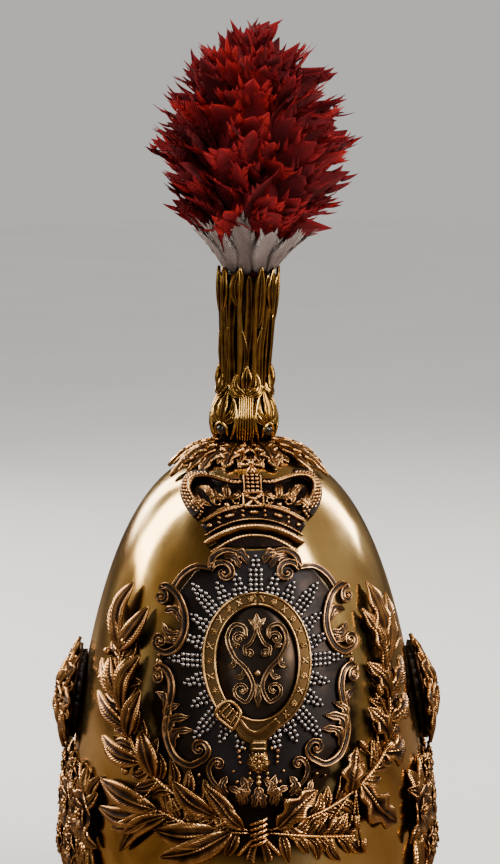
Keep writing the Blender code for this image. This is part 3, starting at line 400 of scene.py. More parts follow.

# Sections of raised work, run round once: across, rise and tone, where tone 1 is rubbed bright and tone 0
# is dark patina with painted shade
DOUBLE_LINE = ((-1, 0, 0.0), (-0.92, 0.6, 0.55), (-0.66, 1, 1.0), (-0.42, 0.72, 0.55), (0, 0.6, 0.35),
               (0.42, 0.72, 0.55), (0.66, 1, 1.0), (0.92, 0.6, 0.55), (1, 0, 0.0), (0, -0.1, 0.0))
HOLLOW = ((-1, 0, 0.0), (-0.95, 0.8, 0.7), (-0.72, 1, 1.0), (-0.4, 0.62, 0.4), (0.2, 0.5, 0.3),
          (0.6, 0.62, 0.6), (0.85, 0.5, 0.6), (1, 0, 0.0), (0, -0.1, 0.0))
ROUND = ((-1, 0, 0.0), (-0.87, 0.5, 0.45), (-0.5, 0.87, 0.85), (0, 1, 1.0), (0.5, 0.87, 0.85),
         (0.87, 0.5, 0.45), (1, 0, 0.0), (0, -0.1, 0.0))
LEAFY = ((-1, 0.10, 0.45), (-0.84, 0.95, 1.0), (-0.50, 0.55, 0.55), (-0.14, 0.40, 0.20), (0, 1.05, 1.0),
         (0.14, 0.40, 0.20), (0.50, 0.55, 0.55), (0.84, 0.95, 1.0), (1, 0.10, 0.45), (0.5, -0.3, 0.0),
         (-0.5, -0.3, 0.0))
FLAT = ((-1, 0, 0.0), (-0.985, 0.8, 0.5), (-0.96, 1, 0.35), (-0.5, 1, 0.12), (0, 1, 0.12), (0.5, 1, 0.12),
        (0.96, 1, 0.35), (0.985, 0.8, 0.5), (1, 0, 0.0), (0, -0.1, 0.0))


def empty_shape():
    """A shape whose points carry a tone, from hollows dark with patina and painted shade to rubbed crests,
    and a place along its veins.
    """
    shape = bmesh.new()
    shape.verts.layers.float.new("tone")
    shape.verts.layers.float.new("vein")
    return shape


def join(shape, part):
    """Adds a part to a shape."""
    mesh = bpy.data.meshes.new("part")
    part.to_mesh(mesh)
    part.free()
    shape.from_mesh(mesh)
    bpy.data.meshes.remove(mesh)


def gather(shape, part):
    """Adds a closed part to a shape, its faces turned outward."""
    bmesh.ops.recalc_face_normals(part, faces=part.faces)
    join(shape, part)


def unit(rows):
    return rows / numpy.maximum(numpy.linalg.norm(rows, axis=-1, keepdims=True), 1e-12)


def strip(shape, spine, half_widths, heights, section=ROUND, up=(0.0, 0.0, 1.0), shade=1.0):
    """A closed strip along a spine, with a section that runs once round it and flat ends."""
    spine = numpy.asarray(spine, float)
    count, sides = len(spine), len(section)
    along = unit(numpy.gradient(spine, axis=0))
    side = unit(numpy.cross(along, numpy.broadcast_to(up, spine.shape)))
    off = numpy.cross(side, along)
    across, rise, tone = numpy.array(section + section[:1], float).T
    half_widths = numpy.broadcast_to(half_widths, (count,))[:, None, None]
    heights = numpy.broadcast_to(heights, (count,))[:, None, None]
    shade = numpy.broadcast_to(shade, (count,))
    rings = (spine[:, None] + side[:, None] * half_widths * across[:, None]
             + off[:, None] * heights * rise[:, None])
    run = numpy.concatenate(([0.0], numpy.cumsum(numpy.linalg.norm(numpy.diff(spine, axis=0), axis=1))))
    part = empty_shape()
    tone_layer = part.verts.layers.float["tone"]
    vein_layer = part.verts.layers.float["vein"]
    bmesh.ops.create_grid(part, x_segments=count + 1, y_segments=sides, size=0.5)
    for vert in part.verts:
        station = round((vert.co.x + 0.5) * (count + 1)) - 1
        place = round((vert.co.y + 0.5) * sides)
        if 0 <= station < count:
            vert.co = rings[station, place]
        else:
            station = min(max(station, 0), count - 1)
            vert.co = rings[station].mean(axis=0)
        vert[tone_layer] = tone[place] * shade[station]
        vert[vein_layer] = run[station] - abs(across[place]) * half_widths[station, 0, 0]
    bmesh.ops.remove_doubles(part, verts=part.verts, dist=MERGE)
    gather(shape, part)


def smooth(points, steps=8):
    """A smooth run of points through a few chosen ones."""
    knots = numpy.array(points, float)
    knots = numpy.vstack((2 * knots[0] - knots[1], knots, 2 * knots[-1] - knots[-2]))
    run = []
    for before, start, end, after in zip(knots, knots[1:], knots[2:], knots[3:]):
        for share in numpy.arange(steps) / steps:
            run.append(start + 0.5 * share * (end - before + share * (
                2 * before - 5 * start + 4 * end - after + share * (3 * (start - end) + after - before))))
    run.append(knots[-2])
    return numpy.array(run)


def around(centre, angle, across, up=None):
    """A point round a centre, on a circle, or on an oval that is so much across and so much up."""
    return (centre[0] + across * cos(angle), centre[1] + (up or across) * sin(angle))


# How far in a volute winds, as a share of its first radius, and how many steps make a turn
VOLUTE_EYE, VOLUTE_STEPS = 0.15, 16


def spiral(centre, start, turns):
    """Points that wind from a start in towards a centre, to the left for a positive number of turns."""
    offset = numpy.array(start) - centre
    radius, angle = hypot(*offset), atan2(offset[1], offset[0])
    count = round(abs(turns) * VOLUTE_STEPS)
    run = []
    for step in range(count + 1):
        share = step / count
        reach = radius * (1 - (1 - VOLUTE_EYE) * share ** 0.8)
        run.append(around(centre, angle + 2 * pi * turns * share, reach))
    return numpy.array(run)


def lifted(path, lift):
    """Gives the points of a flat path their lift."""
    path = numpy.asarray(path, float)
    return numpy.column_stack((path, numpy.broadcast_to(lift, (len(path),))))


def line(shape, points, lift, half_width, height, section=ROUND, steps=6):
    """A strip on the chart through a few points. Its half-width is a number, or one for each end."""
    path = smooth(points, steps)
    if isinstance(half_width, tuple):
        half_width = numpy.linspace(*half_width, len(path))
    strip(shape, lifted(path, lift), half_width, height, section)


def bead(shape, across, along, lift, radius, flat=1.0, fine=2):
    """A round bead, rubbed bright on top and dark at its foot with patina and painted shade."""
    part = empty_shape()
    place = Matrix.Translation((across, along, lift)) @ Matrix.Diagonal((1.0, 1.0, flat, 1.0))
    bmesh.ops.create_icosphere(part, subdivisions=fine, radius=radius, matrix=place)
    layer = part.verts.layers.float["tone"]
    for vert in part.verts:
        vert[layer] = 0.5 + 0.5 * (vert.co.z - lift) / (radius * flat)
    gather(shape, part)


def leaf(shape, base, tip, width, lift, height, curl, steps, bow=0.0, lobes=0):
    """A leaf from base to tip, its midrib bowed sideways, its sides cut into lobes, its middle raised."""
    base, tip = numpy.array(base), numpy.array(tip)
    axis = tip - base
    side = numpy.array((axis[1], -axis[0]))
    path = smooth((base, base + axis * 0.5 + side * bow, tip), steps)
    share = numpy.linspace(0.0, 1.0, len(path))
    half = width / 2 * (0.10 + 0.90 * numpy.sin(pi * share ** 0.85) ** 0.85)
    if lobes:
        half *= 0.80 + 0.24 * numpy.cos(2 * pi * lobes * (share - 0.12)) * numpy.sin(pi * share) ** 0.3
    half[-1] = width * 0.02
    lifts = lift + curl * numpy.sin(pi * share ** 0.8)
    strip(shape, lifted(path, lifts), half, height * (0.5 + 0.5 * numpy.sin(pi * share)), LEAFY)


def both(points):
    """A flat path, and the same path on the other side of the middle."""
    right = numpy.array(points, float)
    return (right, right * (-1.0, 1.0))


def leaf_pair(shape, spot, base, tip, *sizes, bow=0.0, lobes=0):
    """A leaf between two places of a plate and its mirror image, or one leaf on the plate's middle."""
    for hand, (start, end) in zip((1, -1), both([spot(*base), spot(*tip)])):
        if hand == 1 or base[0]:
            leaf(shape, start, end, *sizes, bow=hand * bow, lobes=lobes)


def tapered(count, ends, middle, power=0.7):
    """Widths along a strip, from its ends to its middle."""
    return ends + (middle - ends) * numpy.sin(pi * numpy.linspace(0.0, 1.0, count)) ** power


def ridges(tree, pitch):
    """Fine ridges a pitch apart, slanting along the veins of a strip."""
    return mathematics(tree, "SINE", mathematics(tree, "MULTIPLY", attribute(tree, "vein"), 2 * pi / pitch))


def antique(name, deep, brown, metal_colour, rubbed, rough=(0.55, 0.22), grain=0.10, veins=0.0, pitch=0.0011):
    """Cast metal with dark patina and painted shade in its hollows, rubbed bright on its crests, and fine
    casting grain.
    """
    material, tree, shader = surface(name)
    wear = mathematics(tree, "MULTIPLY_ADD", noise(tree, 160.0, 4.0), 0.90, -0.58)
    # The tone darkens hollows with patina and painted shade; the noise adds random wear.
    patina_shade_and_wear = mathematics(tree, "ADD", attribute(tree, "tone"), wear)
    tint = ramp(tree, patina_shade_and_wear, (0.08, deep), (0.36, brown), (0.72, metal_colour), (1.0, rubbed))
    tree.links.new(tint, shader.inputs["Base Color"])
    shader.inputs["Metallic"].default_value = 1.0
    bounded = mathematics(tree, "MINIMUM", mathematics(tree, "MAXIMUM", patina_shade_and_wear, 0.0), 1.0)
    tree.links.new(between(tree, bounded, *rough), shader.inputs["Roughness"])
    normal = bump(tree, noise(tree, 1100.0, 2.0), grain, 0.0003)
    if veins:
        normal = bump(tree, ridges(tree, pitch), veins, 0.0003, normal)
    tree.links.new(normal, shader.inputs["Normal"])
    return material


DARK = antique("dark_cast", (0.026, 0.022, 0.022), (0.046, 0.031, 0.024), (0.42, 0.20, 0.075),
               (0.86, 0.52, 0.23), rough=(0.50, 0.16))
COPPER = antique("copper_bronze", (0.010, 0.006, 0.005), (0.10, 0.042, 0.015), (0.56, 0.26, 0.080),
                 (0.94, 0.58, 0.25), rough=(0.48, 0.13), veins=0.30, pitch=0.0016)


def shield_spot(across, up):
    return (across * SHIELD_HALF_WIDTH, SHIELD_FOOT + up * (SHIELD_TOP - SHIELD_FOOT))


shield = empty_shape()
ups = numpy.linspace(0.0, 1.0, 140)
outline = numpy.interp(ups, *zip(*PLATE_OUTLINE)) * SHIELD_HALF_WIDTH
spine = [shield_spot(0.0, up) for up in ups]
strip(shield, lifted(spine, 0.0), outline, PLATE_LIFT, FLAT)

# Scrolls of the right half: centre of the first volute, points between, centre of the last volute, turns of
# each, and half-widths at the ends and in the middle
SCROLLS = (
    ((0.30, 0.905), 1.15, ((0.43, 0.915), (0.40, 0.965), (0.28, 0.995), (0.15, 0.985)), None, 0,
     0.0008, 0.0019),
    ((0.96, 0.790), 1.10, ((0.97, 0.825), (0.88, 0.835), (0.77, 0.805), (0.70, 0.740), (0.70, 0.670),
                           (0.78, 0.605), (0.90, 0.578), (1.01, 0.590)), (0.96, 0.618), 1.10, 0.0008, 0.0022),
    ((1.00, 0.480), 1.10, ((1.03, 0.505), (0.96, 0.525), (0.87, 0.500), (0.84, 0.440), (0.88, 0.350),
                           (0.90, 0.270), (0.82, 0.190), (0.66, 0.160), (0.52, 0.185)), (0.56, 0.225), -1.20,
     0.0008, 0.0022),
    ((0.38, 0.170), 1.05, ((0.44, 0.178), (0.47, 0.150), (0.44, 0.110), (0.34, 0.070)), None, 0,
     0.0006, 0.0014),
)


def scrollwork(shape, scrolls, spot, lift, height, knob):
    """Scrolls with volutes at their ends, on both sides of the middle."""
    for first, first_turns, points, last, last_turns, narrow, wide in scrolls:
        path = smooth([spot(*point) for point in points])
        parts = [spiral(spot(*first), path[0], first_turns)[::-1], path[1:]]
        centres = [first]
        if last:
            parts.append(spiral(spot(*last), path[-1], last_turns)[1:])
            centres.append(last)
        for side in both(numpy.vstack(parts)):
            strip(shape, lifted(side, lift), tapered(len(side), narrow, wide), height, DOUBLE_LINE)
        for centre in centres:
            for across, along in numpy.vstack(both([spot(*centre)])):
                bead(shape, across, along, lift + height * 0.5, knob)


scrollwork(shield, SCROLLS, shield_spot, PLATE_LIFT, height=0.0022, knob=0.0010)

# The moulding between the top scrolls and the side ones
MOULDING = ((0.42, 0.925), (0.58, 0.925), (0.73, 0.885), (0.84, 0.825))
for side in both(smooth([shield_spot(*point) for point in MOULDING])):
    strip(shield, lifted(side, PLATE_LIFT), 0.0017, 0.0013, DOUBLE_LINE)

# Acanthus leaves: root and tip, width, bow and lobes, inside the scrolls and in the fan at the foot
ACANTHUS = (
    ((0.24, 0.985), (0.07, 0.945), 0.0062, 0.25, 3), ((0.30, 0.975), (0.14, 0.925), 0.0050, 0.20, 3),
    ((0.73, 0.70), (0.93, 0.735), 0.0066, -0.35, 3), ((0.75, 0.66), (0.94, 0.690), 0.0060, 0.30, 3),
    ((0.78, 0.63), (0.90, 0.650), 0.0044, 0.30, 2),
    ((0.86, 0.24), (0.66, 0.345), 0.0074, 0.35, 3), ((0.84, 0.21), (0.62, 0.295), 0.0060, 0.30, 3),
    ((0.88, 0.30), (0.76, 0.390), 0.0054, 0.25, 3), ((0.90, 0.36), (1.02, 0.425), 0.0050, -0.30, 2),
    ((0.34, 0.060), (0.52, 0.105), 0.0056, 0.30, 3), ((0.30, 0.050), (0.30, 0.125), 0.0060, 0.25, 3),
    ((0.22, 0.035), (0.16, 0.130), 0.0064, -0.25, 3), ((0.12, 0.020), (0.05, 0.115), 0.0060, 0.25, 3),
    ((0.16, 0.015), (0.30, 0.085), 0.0056, -0.30, 3), ((0.05, 0.010), (0.00, 0.090), 0.0056, 0.0, 3),
)
for base, tip, width, bow, lobes in ACANTHUS:
    leaf_pair(shield, shield_spot, base, tip, width, PLATE_LIFT, 0.0014, 0.0010, 8, bow=bow, lobes=lobes)

# Beads: place and radius
SHIELD_BEADS = ((0.98, 0.540, 0.0019), (0.985, 0.565, 0.0010), (0.985, 0.517, 0.0010), (0.205, 0.105, 0.0011),
                (0.24, 0.145, 0.0009), (0.185, 0.222, 0.0012), (0.182, 0.200, 0.0011), (0.178, 0.179, 0.0010),
                (0.57, 0.125, 0.0010), (0.66, 0.115, 0.0008))
for across, up, radius in SHIELD_BEADS:
    for place in numpy.vstack(both([shield_spot(across, up)])):
        bead(shield, *place, PLATE_LIFT + radius * 0.3, radius)
piece("cast_shield", shield, DARK, "dark_patina", "shield", bend=from_chart)


# Star. An eight-rayed silver star with shorter rays between, each ray made of rows of round beads that
# narrow to one at its tip. It is struck in one sheet and pinned over the dark plate.
STAR_FOOT, STAR_TOP = 0.0891, 0.1971
STAR_ALONG, STAR_HALF_HEIGHT = (STAR_FOOT + STAR_TOP) / 2, (STAR_TOP - STAR_FOOT) / 2
STAR_HALF_WIDTH = 0.0445
BEAD_PITCH = 0.00265
BEAD_RADIUS = 0.00116
BELT_HALF_WIDTH, BELT_HALF_HEIGHT = 0.0262, 0.0345
RAYS = 24
MAIN_RAY_EVERY = 3
SHORT_REACH = 0.85
# How many beads stand side by side, row by row from a ray's tip
MAIN_ROWS = (1, 2, 2, 3, 3, 3, 3, 3, 3)
SHORT_ROWS = (1, 2, 2, 3, 3, 3, 3)
# As shares of the pitch: between rows, between beads of a row, and the closest that two rays' beads come
ROW_STEP, SIDE_STEP, CLOSEST = 0.92, 0.96, 0.84
TIP_BEAD = 0.82

star = empty_shape()
star_beads = []
for ray in sorted(range(RAYS), key=lambda ray: ray % MAIN_RAY_EVERY != 0):
    main = ray % MAIN_RAY_EVERY == 0
    turn = 2 * pi * ray / RAYS
    reach = 1.0 if main else SHORT_REACH
    tip = Vector((STAR_HALF_WIDTH * sin(turn), STAR_HALF_HEIGHT * cos(turn))) * reach
    inward = -tip.normalized()
    across_ray = Vector((inward.y, -inward.x))
    for row, beads in enumerate(MAIN_ROWS if main else SHORT_ROWS):
        for place in range(beads):
            spot = tip + inward * (row + 0.5) * BEAD_PITCH * ROW_STEP
            spot += across_ray * (place - (beads - 1) / 2) * BEAD_PITCH * SIDE_STEP
            covered = hypot(spot.x / (BELT_HALF_WIDTH - 0.001), spot.y / (BELT_HALF_HEIGHT - 0.001)) < 1
            crowded = any((spot - other).length < BEAD_PITCH * CLOSEST for other in star_beads)
            if not covered and not crowded:
                star_beads.append(spot)
                size = BEAD_RADIUS * (1.0 if row else TIP_BEAD)
                bead(star, spot.x, STAR_ALONG + spot.y, PLATE_LIFT + size * 0.45, size)
SILVER = antique("tarnished_silver", (0.014, 0.011, 0.011), (0.11, 0.088, 0.085), (0.42, 0.37, 0.36),
                 (0.74, 0.69, 0.67), rough=(0.45, 0.16), grain=0.05)
piece("beaded_star", star, SILVER, "silver", "star", bend=from_chart)


# Belt and medallion. An oval brass belt with raised edges and a buckle surrounds a dark oval plate; both
# are struck and riveted through the star. The belt carries small flowers and sprigs, the plate scrolls.
BELT_WIDTH = 0.0070
BELT_LIFT = 0.0034
# Raised work on the belt starts just inside its face
BELT_FACE = BELT_LIFT - 0.0002
RIM_WIDTH, RIM_RISE = 0.0007, 0.0009
BELT_FLOWERS = 26
BUCKLE_TURN, STRAP_TURN = radians(214), radians(150)
PETAL_REACH, SPRIG_REACH = 0.0019, 0.0016


def oval(turn, inset):
    return ((BELT_HALF_WIDTH - inset) * sin(turn), STAR_ALONG + (BELT_HALF_HEIGHT - inset) * cos(turn))


def oval_strip(shape, inset, half_width, lift, height, section):
    """A strip all round the belt's oval."""
    turns = numpy.linspace(0.0, 2 * pi, 96)
    strip(shape, lifted([oval(turn, inset) for turn in turns], lift), half_width, height, section)


belt = empty_shape()
oval_strip(belt, BELT_WIDTH / 2, BELT_WIDTH / 2, PLATE_LIFT, BELT_LIFT - PLATE_LIFT, FLAT)
for inset in (RIM_WIDTH, BELT_WIDTH - RIM_WIDTH):
    oval_strip(belt, inset, RIM_WIDTH, BELT_FACE, RIM_RISE, ROUND)
for flower in range(BELT_FLOWERS):
    turn = 2 * pi * (flower + 0.5) / BELT_FLOWERS
    if STRAP_TURN < turn < BUCKLE_TURN + 0.1:
        continue
    centre = oval(turn, BELT_WIDTH / 2)
    if flower % 2:
        for corner in range(4):
            tip = around(centre, pi / 4 + corner * pi / 2 - turn, PETAL_REACH)
            leaf(belt, centre, tip, 0.0015, BELT_FACE, 0.0008, 0.0002, 3)
        bead(belt, *centre, BELT_LIFT + 0.0003, 0.0006)
    else:
        for sway in (-SPRIG_REACH, SPRIG_REACH):
            tip = oval(turn + sway / BELT_HALF_HEIGHT, BELT_WIDTH * 0.28)
            foot = oval(turn - sway / BELT_HALF_HEIGHT, BELT_WIDTH * 0.72)
            line(belt, (foot, centre, tip), BELT_FACE, 0.00045, RIM_RISE, steps=4)

# The buckle is a rounded frame with three ribs, and the strap loops through it and hangs down in a square
# end. A place on the frame is a turn from the buckle's and a share of the belt's width in from its edge.
# One on the loop is a turn in degrees and a drop below the belt's middle line.
BUCKLE_FRAME = ((-0.16, -0.20), (0.20, -0.16), (0.22, 1.05), (-0.14, 1.10), (-0.16, -0.20))
STRAP_LOOP = ((212, 0.0), (203, 0.0012), (193, 0.0042), (183, 0.0052), (173, 0.0034), (164, 0.0012),
              (156, 0.0))
frame_corners = [oval(BUCKLE_TURN + step, BELT_WIDTH * inset) for step, inset in BUCKLE_FRAME]
line(belt, frame_corners, BELT_LIFT, 0.0011, 0.0022)
for step in (-0.08, 0.04, 0.15):
    rib = [oval(BUCKLE_TURN + step, BELT_WIDTH * inset) for inset in (0.0, 0.5, 1.0)]
    line(belt, rib, BELT_LIFT, 0.0008, 0.0017, steps=4)
loop = smooth([oval(radians(turn), BELT_WIDTH * 0.5 - drop) for turn, drop in STRAP_LOOP])
strip(belt, lifted(loop, BELT_LIFT), tapered(len(loop), 0.0018, 0.0034), 0.0013, HOLLOW)
tail_top, tail_foot = oval(pi, -0.0030), oval(pi, -0.0085)
line(belt, (tail_top, tail_foot), PLATE_LIFT, 0.0040, 0.0026, FLAT)
for rise in (0.25, 0.75):
    along = tail_foot[1] + (tail_top[1] - tail_foot[1]) * rise
    line(belt, ((-0.0034, along), (0.0034, along)), PLATE_LIFT + 0.0024, 0.0006, 0.0007)

# The flower that hangs below, in petals round a bead, with a drop of beads under it and three at each side
FLOWER, FLOWER_REACH = (0.0, STAR_ALONG - BELT_HALF_HEIGHT - 0.0135), 0.0054
for petal in range(8):
    tip = around(FLOWER, 2 * pi * petal / 8, FLOWER_REACH)
    leaf(belt, FLOWER, tip, 0.0042, PLATE_LIFT, 0.0020, 0.0012, 5)
bead(belt, *FLOWER, PLATE_LIFT + 0.0022, 0.0015)
for drop, radius in ((0.0075, 0.0013), (0.0100, 0.0016), (0.0128, 0.0011)):
    bead(belt, 0.0, FLOWER[1] - drop, PLATE_LIFT + 0.0008, radius)
for hand in (-1, 1):
    for across, drop in ((0.0063, -0.0065), (0.0042, 0.0055), (0.0042, 0.0080)):
        bead(belt, hand * across, FLOWER[1] - drop, PLATE_LIFT + 0.0006, 0.0010)
BELT = antique("struck_belt", (0.10, 0.055, 0.020), (0.20, 0.105, 0.035), (0.58, 0.31, 0.105),
               (0.94, 0.61, 0.27), rough=(0.42, 0.13))
piece("buckled_belt", belt, BELT, "copper_bronze", "belt", bend=from_chart)

medallion = empty_shape()
MEDALLION_LIFT = PLATE_LIFT + 0.0006
rows = numpy.linspace(-1.0, 1.0, 60)
half = (BELT_HALF_WIDTH - BELT_WIDTH) * numpy.sqrt(1 - rows ** 2)
spine = [(0.0, STAR_ALONG + (BELT_HALF_HEIGHT - BELT_WIDTH) * row) for row in rows]
strip(medallion, lifted(spine, 0.0), half, MEDALLION_LIFT, FLAT)


def medal_spot(across, up):
    inset = BELT_WIDTH + 0.0018
    return (across * (BELT_HALF_WIDTH - inset), STAR_ALONG + up * (BELT_HALF_HEIGHT - inset))


# Scrolls of the medallion's right half, in the same columns as the shield's
MEDAL_SCROLLS = (
    ((0.50, 0.44), -1.2, ((0.30, 0.46), (0.34, 0.66), (0.62, 0.70), (0.80, 0.44), (0.62, 0.10), (0.30, -0.14),
                          (0.12, -0.46), (0.30, -0.74), (0.56, -0.66)), (0.42, -0.52), 1.1, 0.0006, 0.0013),
    ((0.20, 0.16), 1.1, ((0.32, 0.12), (0.34, 0.28), (0.18, 0.36), (0.04, 0.58), (0.02, 0.80)), None, 0,
     0.0005, 0.0010),
)
scrollwork(medallion, MEDAL_SCROLLS, medal_spot, MEDALLION_LIFT, height=0.0019, knob=0.0008)
# Leaves of the medallion: root and tip, width and bow
MEDAL_LEAVES = (((0.62, 0.12), (0.84, -0.10), 0.0034, 0.3), ((0.34, -0.12), (0.66, -0.28), 0.0036, 0.3),
                ((0.06, 0.56), (0.26, 0.84), 0.0034, -0.2), ((0.0, -0.40), (0.0, -0.86), 0.0042, 0.0),
                ((0.0, 0.55), (0.0, 0.94), 0.0044, 0.0), ((0.70, 0.30), (0.46, 0.24), 0.0026, 0.3))
for base, tip, width, bow in MEDAL_LEAVES:
    leaf_pair(medallion, medal_spot, base, tip, width, MEDALLION_LIFT, 0.0012, 0.0006, 6, bow=bow, lobes=2)
bead(medallion, 0.0, STAR_ALONG - 0.0052, MEDALLION_LIFT + 0.0006, 0.0018)
MEDAL = antique("dark_medallion", (0.032, 0.023, 0.018), (0.075, 0.045, 0.027), (0.52, 0.29, 0.125),
                (0.84, 0.55, 0.28), rough=(0.42, 0.2))
piece("scrolled_medallion", medallion, MEDAL, "dark_patina", "medallion", bend=from_chart)


# Crown. Struck in one sheet of copper bronze and pinned over the top of the shield: a smooth roll, a jewelled
# band, two arches edged with pearls that meet at a strip of pearls, fleurs between them, and a cross on top.
CROWN_FOOT, CROWN_HEIGHT, CROWN_HALF_WIDTH = 0.1995, 0.0550, 0.0405
CROWN_LIFT = 0.0012
PEARL_RADIUS, PEARL_PITCH = 0.00092, 0.00205

# Half-width of the dark ground behind the crown, against shares of its height
CROWN_GROUND = ((0.02, 0.44), (0.17, 0.57), (0.34, 0.60), (0.40, 0.74), (0.51, 0.88), (0.60, 0.90),
                (0.68, 0.84), (0.74, 0.66), (0.77, 0.40))
# Middle lines, right half: the roll, and an arch from the band up and over to the centre strip
CROWN_ROLL = ((0.00, 0.205), (0.20, 0.185), (0.40, 0.120), (0.585, 0.025))
CROWN_ARCH = ((0.60, 0.37), (0.71, 0.46), (0.77, 0.56), (0.73, 0.665), (0.58, 0.712), (0.42, 0.700),
              (0.24, 0.662), (0.13, 0.680))
# Lines that follow the roll: rise over it, how much wider they run, lift as a share of the crown's,
# half-width, height and section
CROWN_LINES = ((-0.065, 0.90, 0.5, 0.0010, 0.0012, ROUND), (0.085, 1.02, 1.0, 0.0005, 0.0016, ROUND),
               (0.145, 1.03, 1.0, 0.0030, 0.0012, FLAT), (0.212, 1.05, 1.0, 0.0007, 0.0026, ROUND),
               (0.235, 1.06, 1.0, 0.0004, 0.0020, ROUND))


def crown_spot(across, up):
    return (across * CROWN_HALF_WIDTH, CROWN_FOOT + up * CROWN_HEIGHT)


def beside(path, distance):
    """A flat path moved sideways."""
    along = unit(numpy.gradient(path, axis=0))
    return path + numpy.column_stack((along[:, 1], -along[:, 0])) * distance


def bead_row(shape, path, pitch, radius, lift):
    """Beads a pitch apart along a flat path. The lift may change along it."""
    run = numpy.concatenate(([0.0], numpy.cumsum(numpy.hypot(*numpy.diff(path, axis=0).T))))
    lifts = numpy.broadcast_to(lift, (len(path),))
    for place in numpy.linspace(0.0, run[-1], max(round(run[-1] / pitch), 1) + 1):
        bead(shape, numpy.interp(place, run, path[:, 0]), numpy.interp(place, run, path[:, 1]),
             numpy.interp(place, run, lifts), radius)


def arc(rise=0.0, widen=1.0):
    """The crown's roll line from side to side, raised and widened."""
    right = [(across * widen, up + rise) for across, up in CROWN_ROLL]
    left = [(-across, up) for across, up in reversed(right[1:])]
    return smooth([crown_spot(*point) for point in left + right])


crown = empty_shape()
ups = numpy.linspace(CROWN_GROUND[0][0], CROWN_GROUND[-1][0], 60)
ground = numpy.interp(ups, *zip(*CROWN_GROUND)) * CROWN_HALF_WIDTH
strip(crown, lifted([crown_spot(0.0, up) for up in ups], 0.0), ground, CROWN_LIFT, FLAT)
roll = arc()
strip(crown, lifted(roll, CROWN_LIFT), tapered(len(roll), 0.0010, 0.0019, 0.35), 0.0040)
for rise, widen, lift, half, height, section in CROWN_LINES:
    strip(crown, lifted(arc(rise, widen), CROWN_LIFT * lift), half, height, section)

# The band's jewels, oblong ones between pairs of pearls
band = arc(0.148, 1.03)
JEWELS = 9
for jewel in range(JEWELS):
    middle = round((jewel + 0.5) / JEWELS * (len(band) - 1))
    if jewel % 2 == 0:
        stone = band[middle - 2:middle + 3] if 0 < jewel < JEWELS - 1 else band[middle - 1:middle + 2]
        strip(crown, lifted(stone, CROWN_LIFT + 0.0010), tapered(len(stone), 0.0008, 0.0013), 0.0016)
    else:
        for rise in (-0.0013, 0.0013):
            bead(crown, band[middle, 0], band[middle, 1] + rise, CROWN_LIFT + 0.0014, 0.0009)

# The arches, each with three rows of pearls outside it that stop one after another
arch = smooth([crown_spot(*point) for point in CROWN_ARCH])
swell = numpy.sin(pi * numpy.linspace(0.0, 1.0, len(arch)) ** 0.8)
for hand, side in zip((1, -1), both(arch)):
    ridge = lifted(side, CROWN_LIFT + 0.0012 + 0.0024 * swell)
    strip(crown, ridge, tapered(len(side), 0.0007, 0.0011), 0.0018)
    for row in range(1, 4):
        reach = side if row == 1 else side[:round(len(side) * (0.84 - 0.12 * row))]
        rise = CROWN_LIFT + 0.0015 + 0.0022 * swell[:len(reach)] - 0.0006 * row
        bead_row(crown, beside(reach, hand * 0.0019 * (row - 0.05)), PEARL_PITCH, PEARL_RADIUS, rise)
    edge = beside(side, hand * 0.0016 * 2.6)[:round(len(side) * 0.62)]
    strip(crown, lifted(edge, 0.0008), 0.0034, 0.0020, FLAT)

# Fleurs between the arches: three petals over two rings and a ball, with three leaves towards the side
FLEUR = (((0.31, 0.50), (0.31, 0.665), 0.0042, 0.0, 0), ((0.28, 0.50), (0.17, 0.60), 0.0032, -0.35, 0),
         ((0.34, 0.50), (0.46, 0.605), 0.0034, 0.35, 0), ((0.48, 0.44), (0.68, 0.62), 0.0044, -0.25, 2),
         ((0.52, 0.42), (0.70, 0.54), 0.0038, 0.25, 2), ((0.44, 0.50), (0.54, 0.645), 0.0032, 0.25, 0))
for hand in (1, -1):
    for base, tip, width, bow, lobes in FLEUR:
        start, end = crown_spot(hand * base[0], base[1]), crown_spot(hand * tip[0], tip[1])
        leaf(crown, start, end, width, CROWN_LIFT + 0.0006, 0.0015, 0.0010, 6, bow=hand * bow, lobes=lobes)
    for across, up in ((0.20, 0.475), (0.43, 0.455)):
        centre = crown_spot(hand * across, up)
        ring = [around(centre, turn, 0.0017) for turn in numpy.linspace(0.0, 1.8 * pi, 16)]
        strip(crown, lifted(ring, CROWN_LIFT + 0.0006), 0.0005, 0.0014)
    bead(crown, *crown_spot(hand * 0.31, 0.425), CROWN_LIFT + 0.0014, 0.0014)
    saucer = [crown_spot(hand * across, up) for across, up in ((0.20, 0.385), (0.31, 0.41), (0.44, 0.37))]
    line(crown, saucer, CROWN_LIFT, 0.0005, 0.0018, steps=5)
    # The half cross where an arch leaves the band
    corner = crown_spot(hand * 0.66, 0.385)
    for angle in (0.25 * pi, 0.75 * pi, 0.5 * pi):
        end = around(corner, angle, 0.0048, 0.0058)
        leaf(crown, corner, end, 0.0034, CROWN_LIFT + 0.0022, 0.0012, 0.0004, 4)

# The centre strip: three columns of pearls between rims, over a square with a raised cross and a bead
STRIP_HALF, SQUARE_HALF = 0.0039, 0.0046
square_low, square_high, strip_high = (crown_spot(0, up)[1] for up in (0.40, 0.545, 0.775))
line(crown, ((0.0, square_low), (0.0, strip_high)), CROWN_LIFT, STRIP_HALF, 0.0022, FLAT, 8)
for across in (-STRIP_HALF, STRIP_HALF):
    line(crown, ((across, square_high), (across, strip_high)), CROWN_LIFT + 0.0012, 0.0006, 0.0022, steps=8)
for across in (-0.0022, 0.0, 0.0022):
    path = smooth(((across, square_high + 0.0014), (across, strip_high - 0.0008)), 6)
    bead_row(crown, path, 0.0024, PEARL_RADIUS, CROWN_LIFT + 0.0026)
square = ((-SQUARE_HALF, square_low), (SQUARE_HALF, square_low), (SQUARE_HALF, square_high),
          (-SQUARE_HALF, square_high))
for start, end in zip(square, square[1:] + square[:1]):
    line(crown, (start, end), CROWN_LIFT + 0.0014, 0.0006, 0.0024)
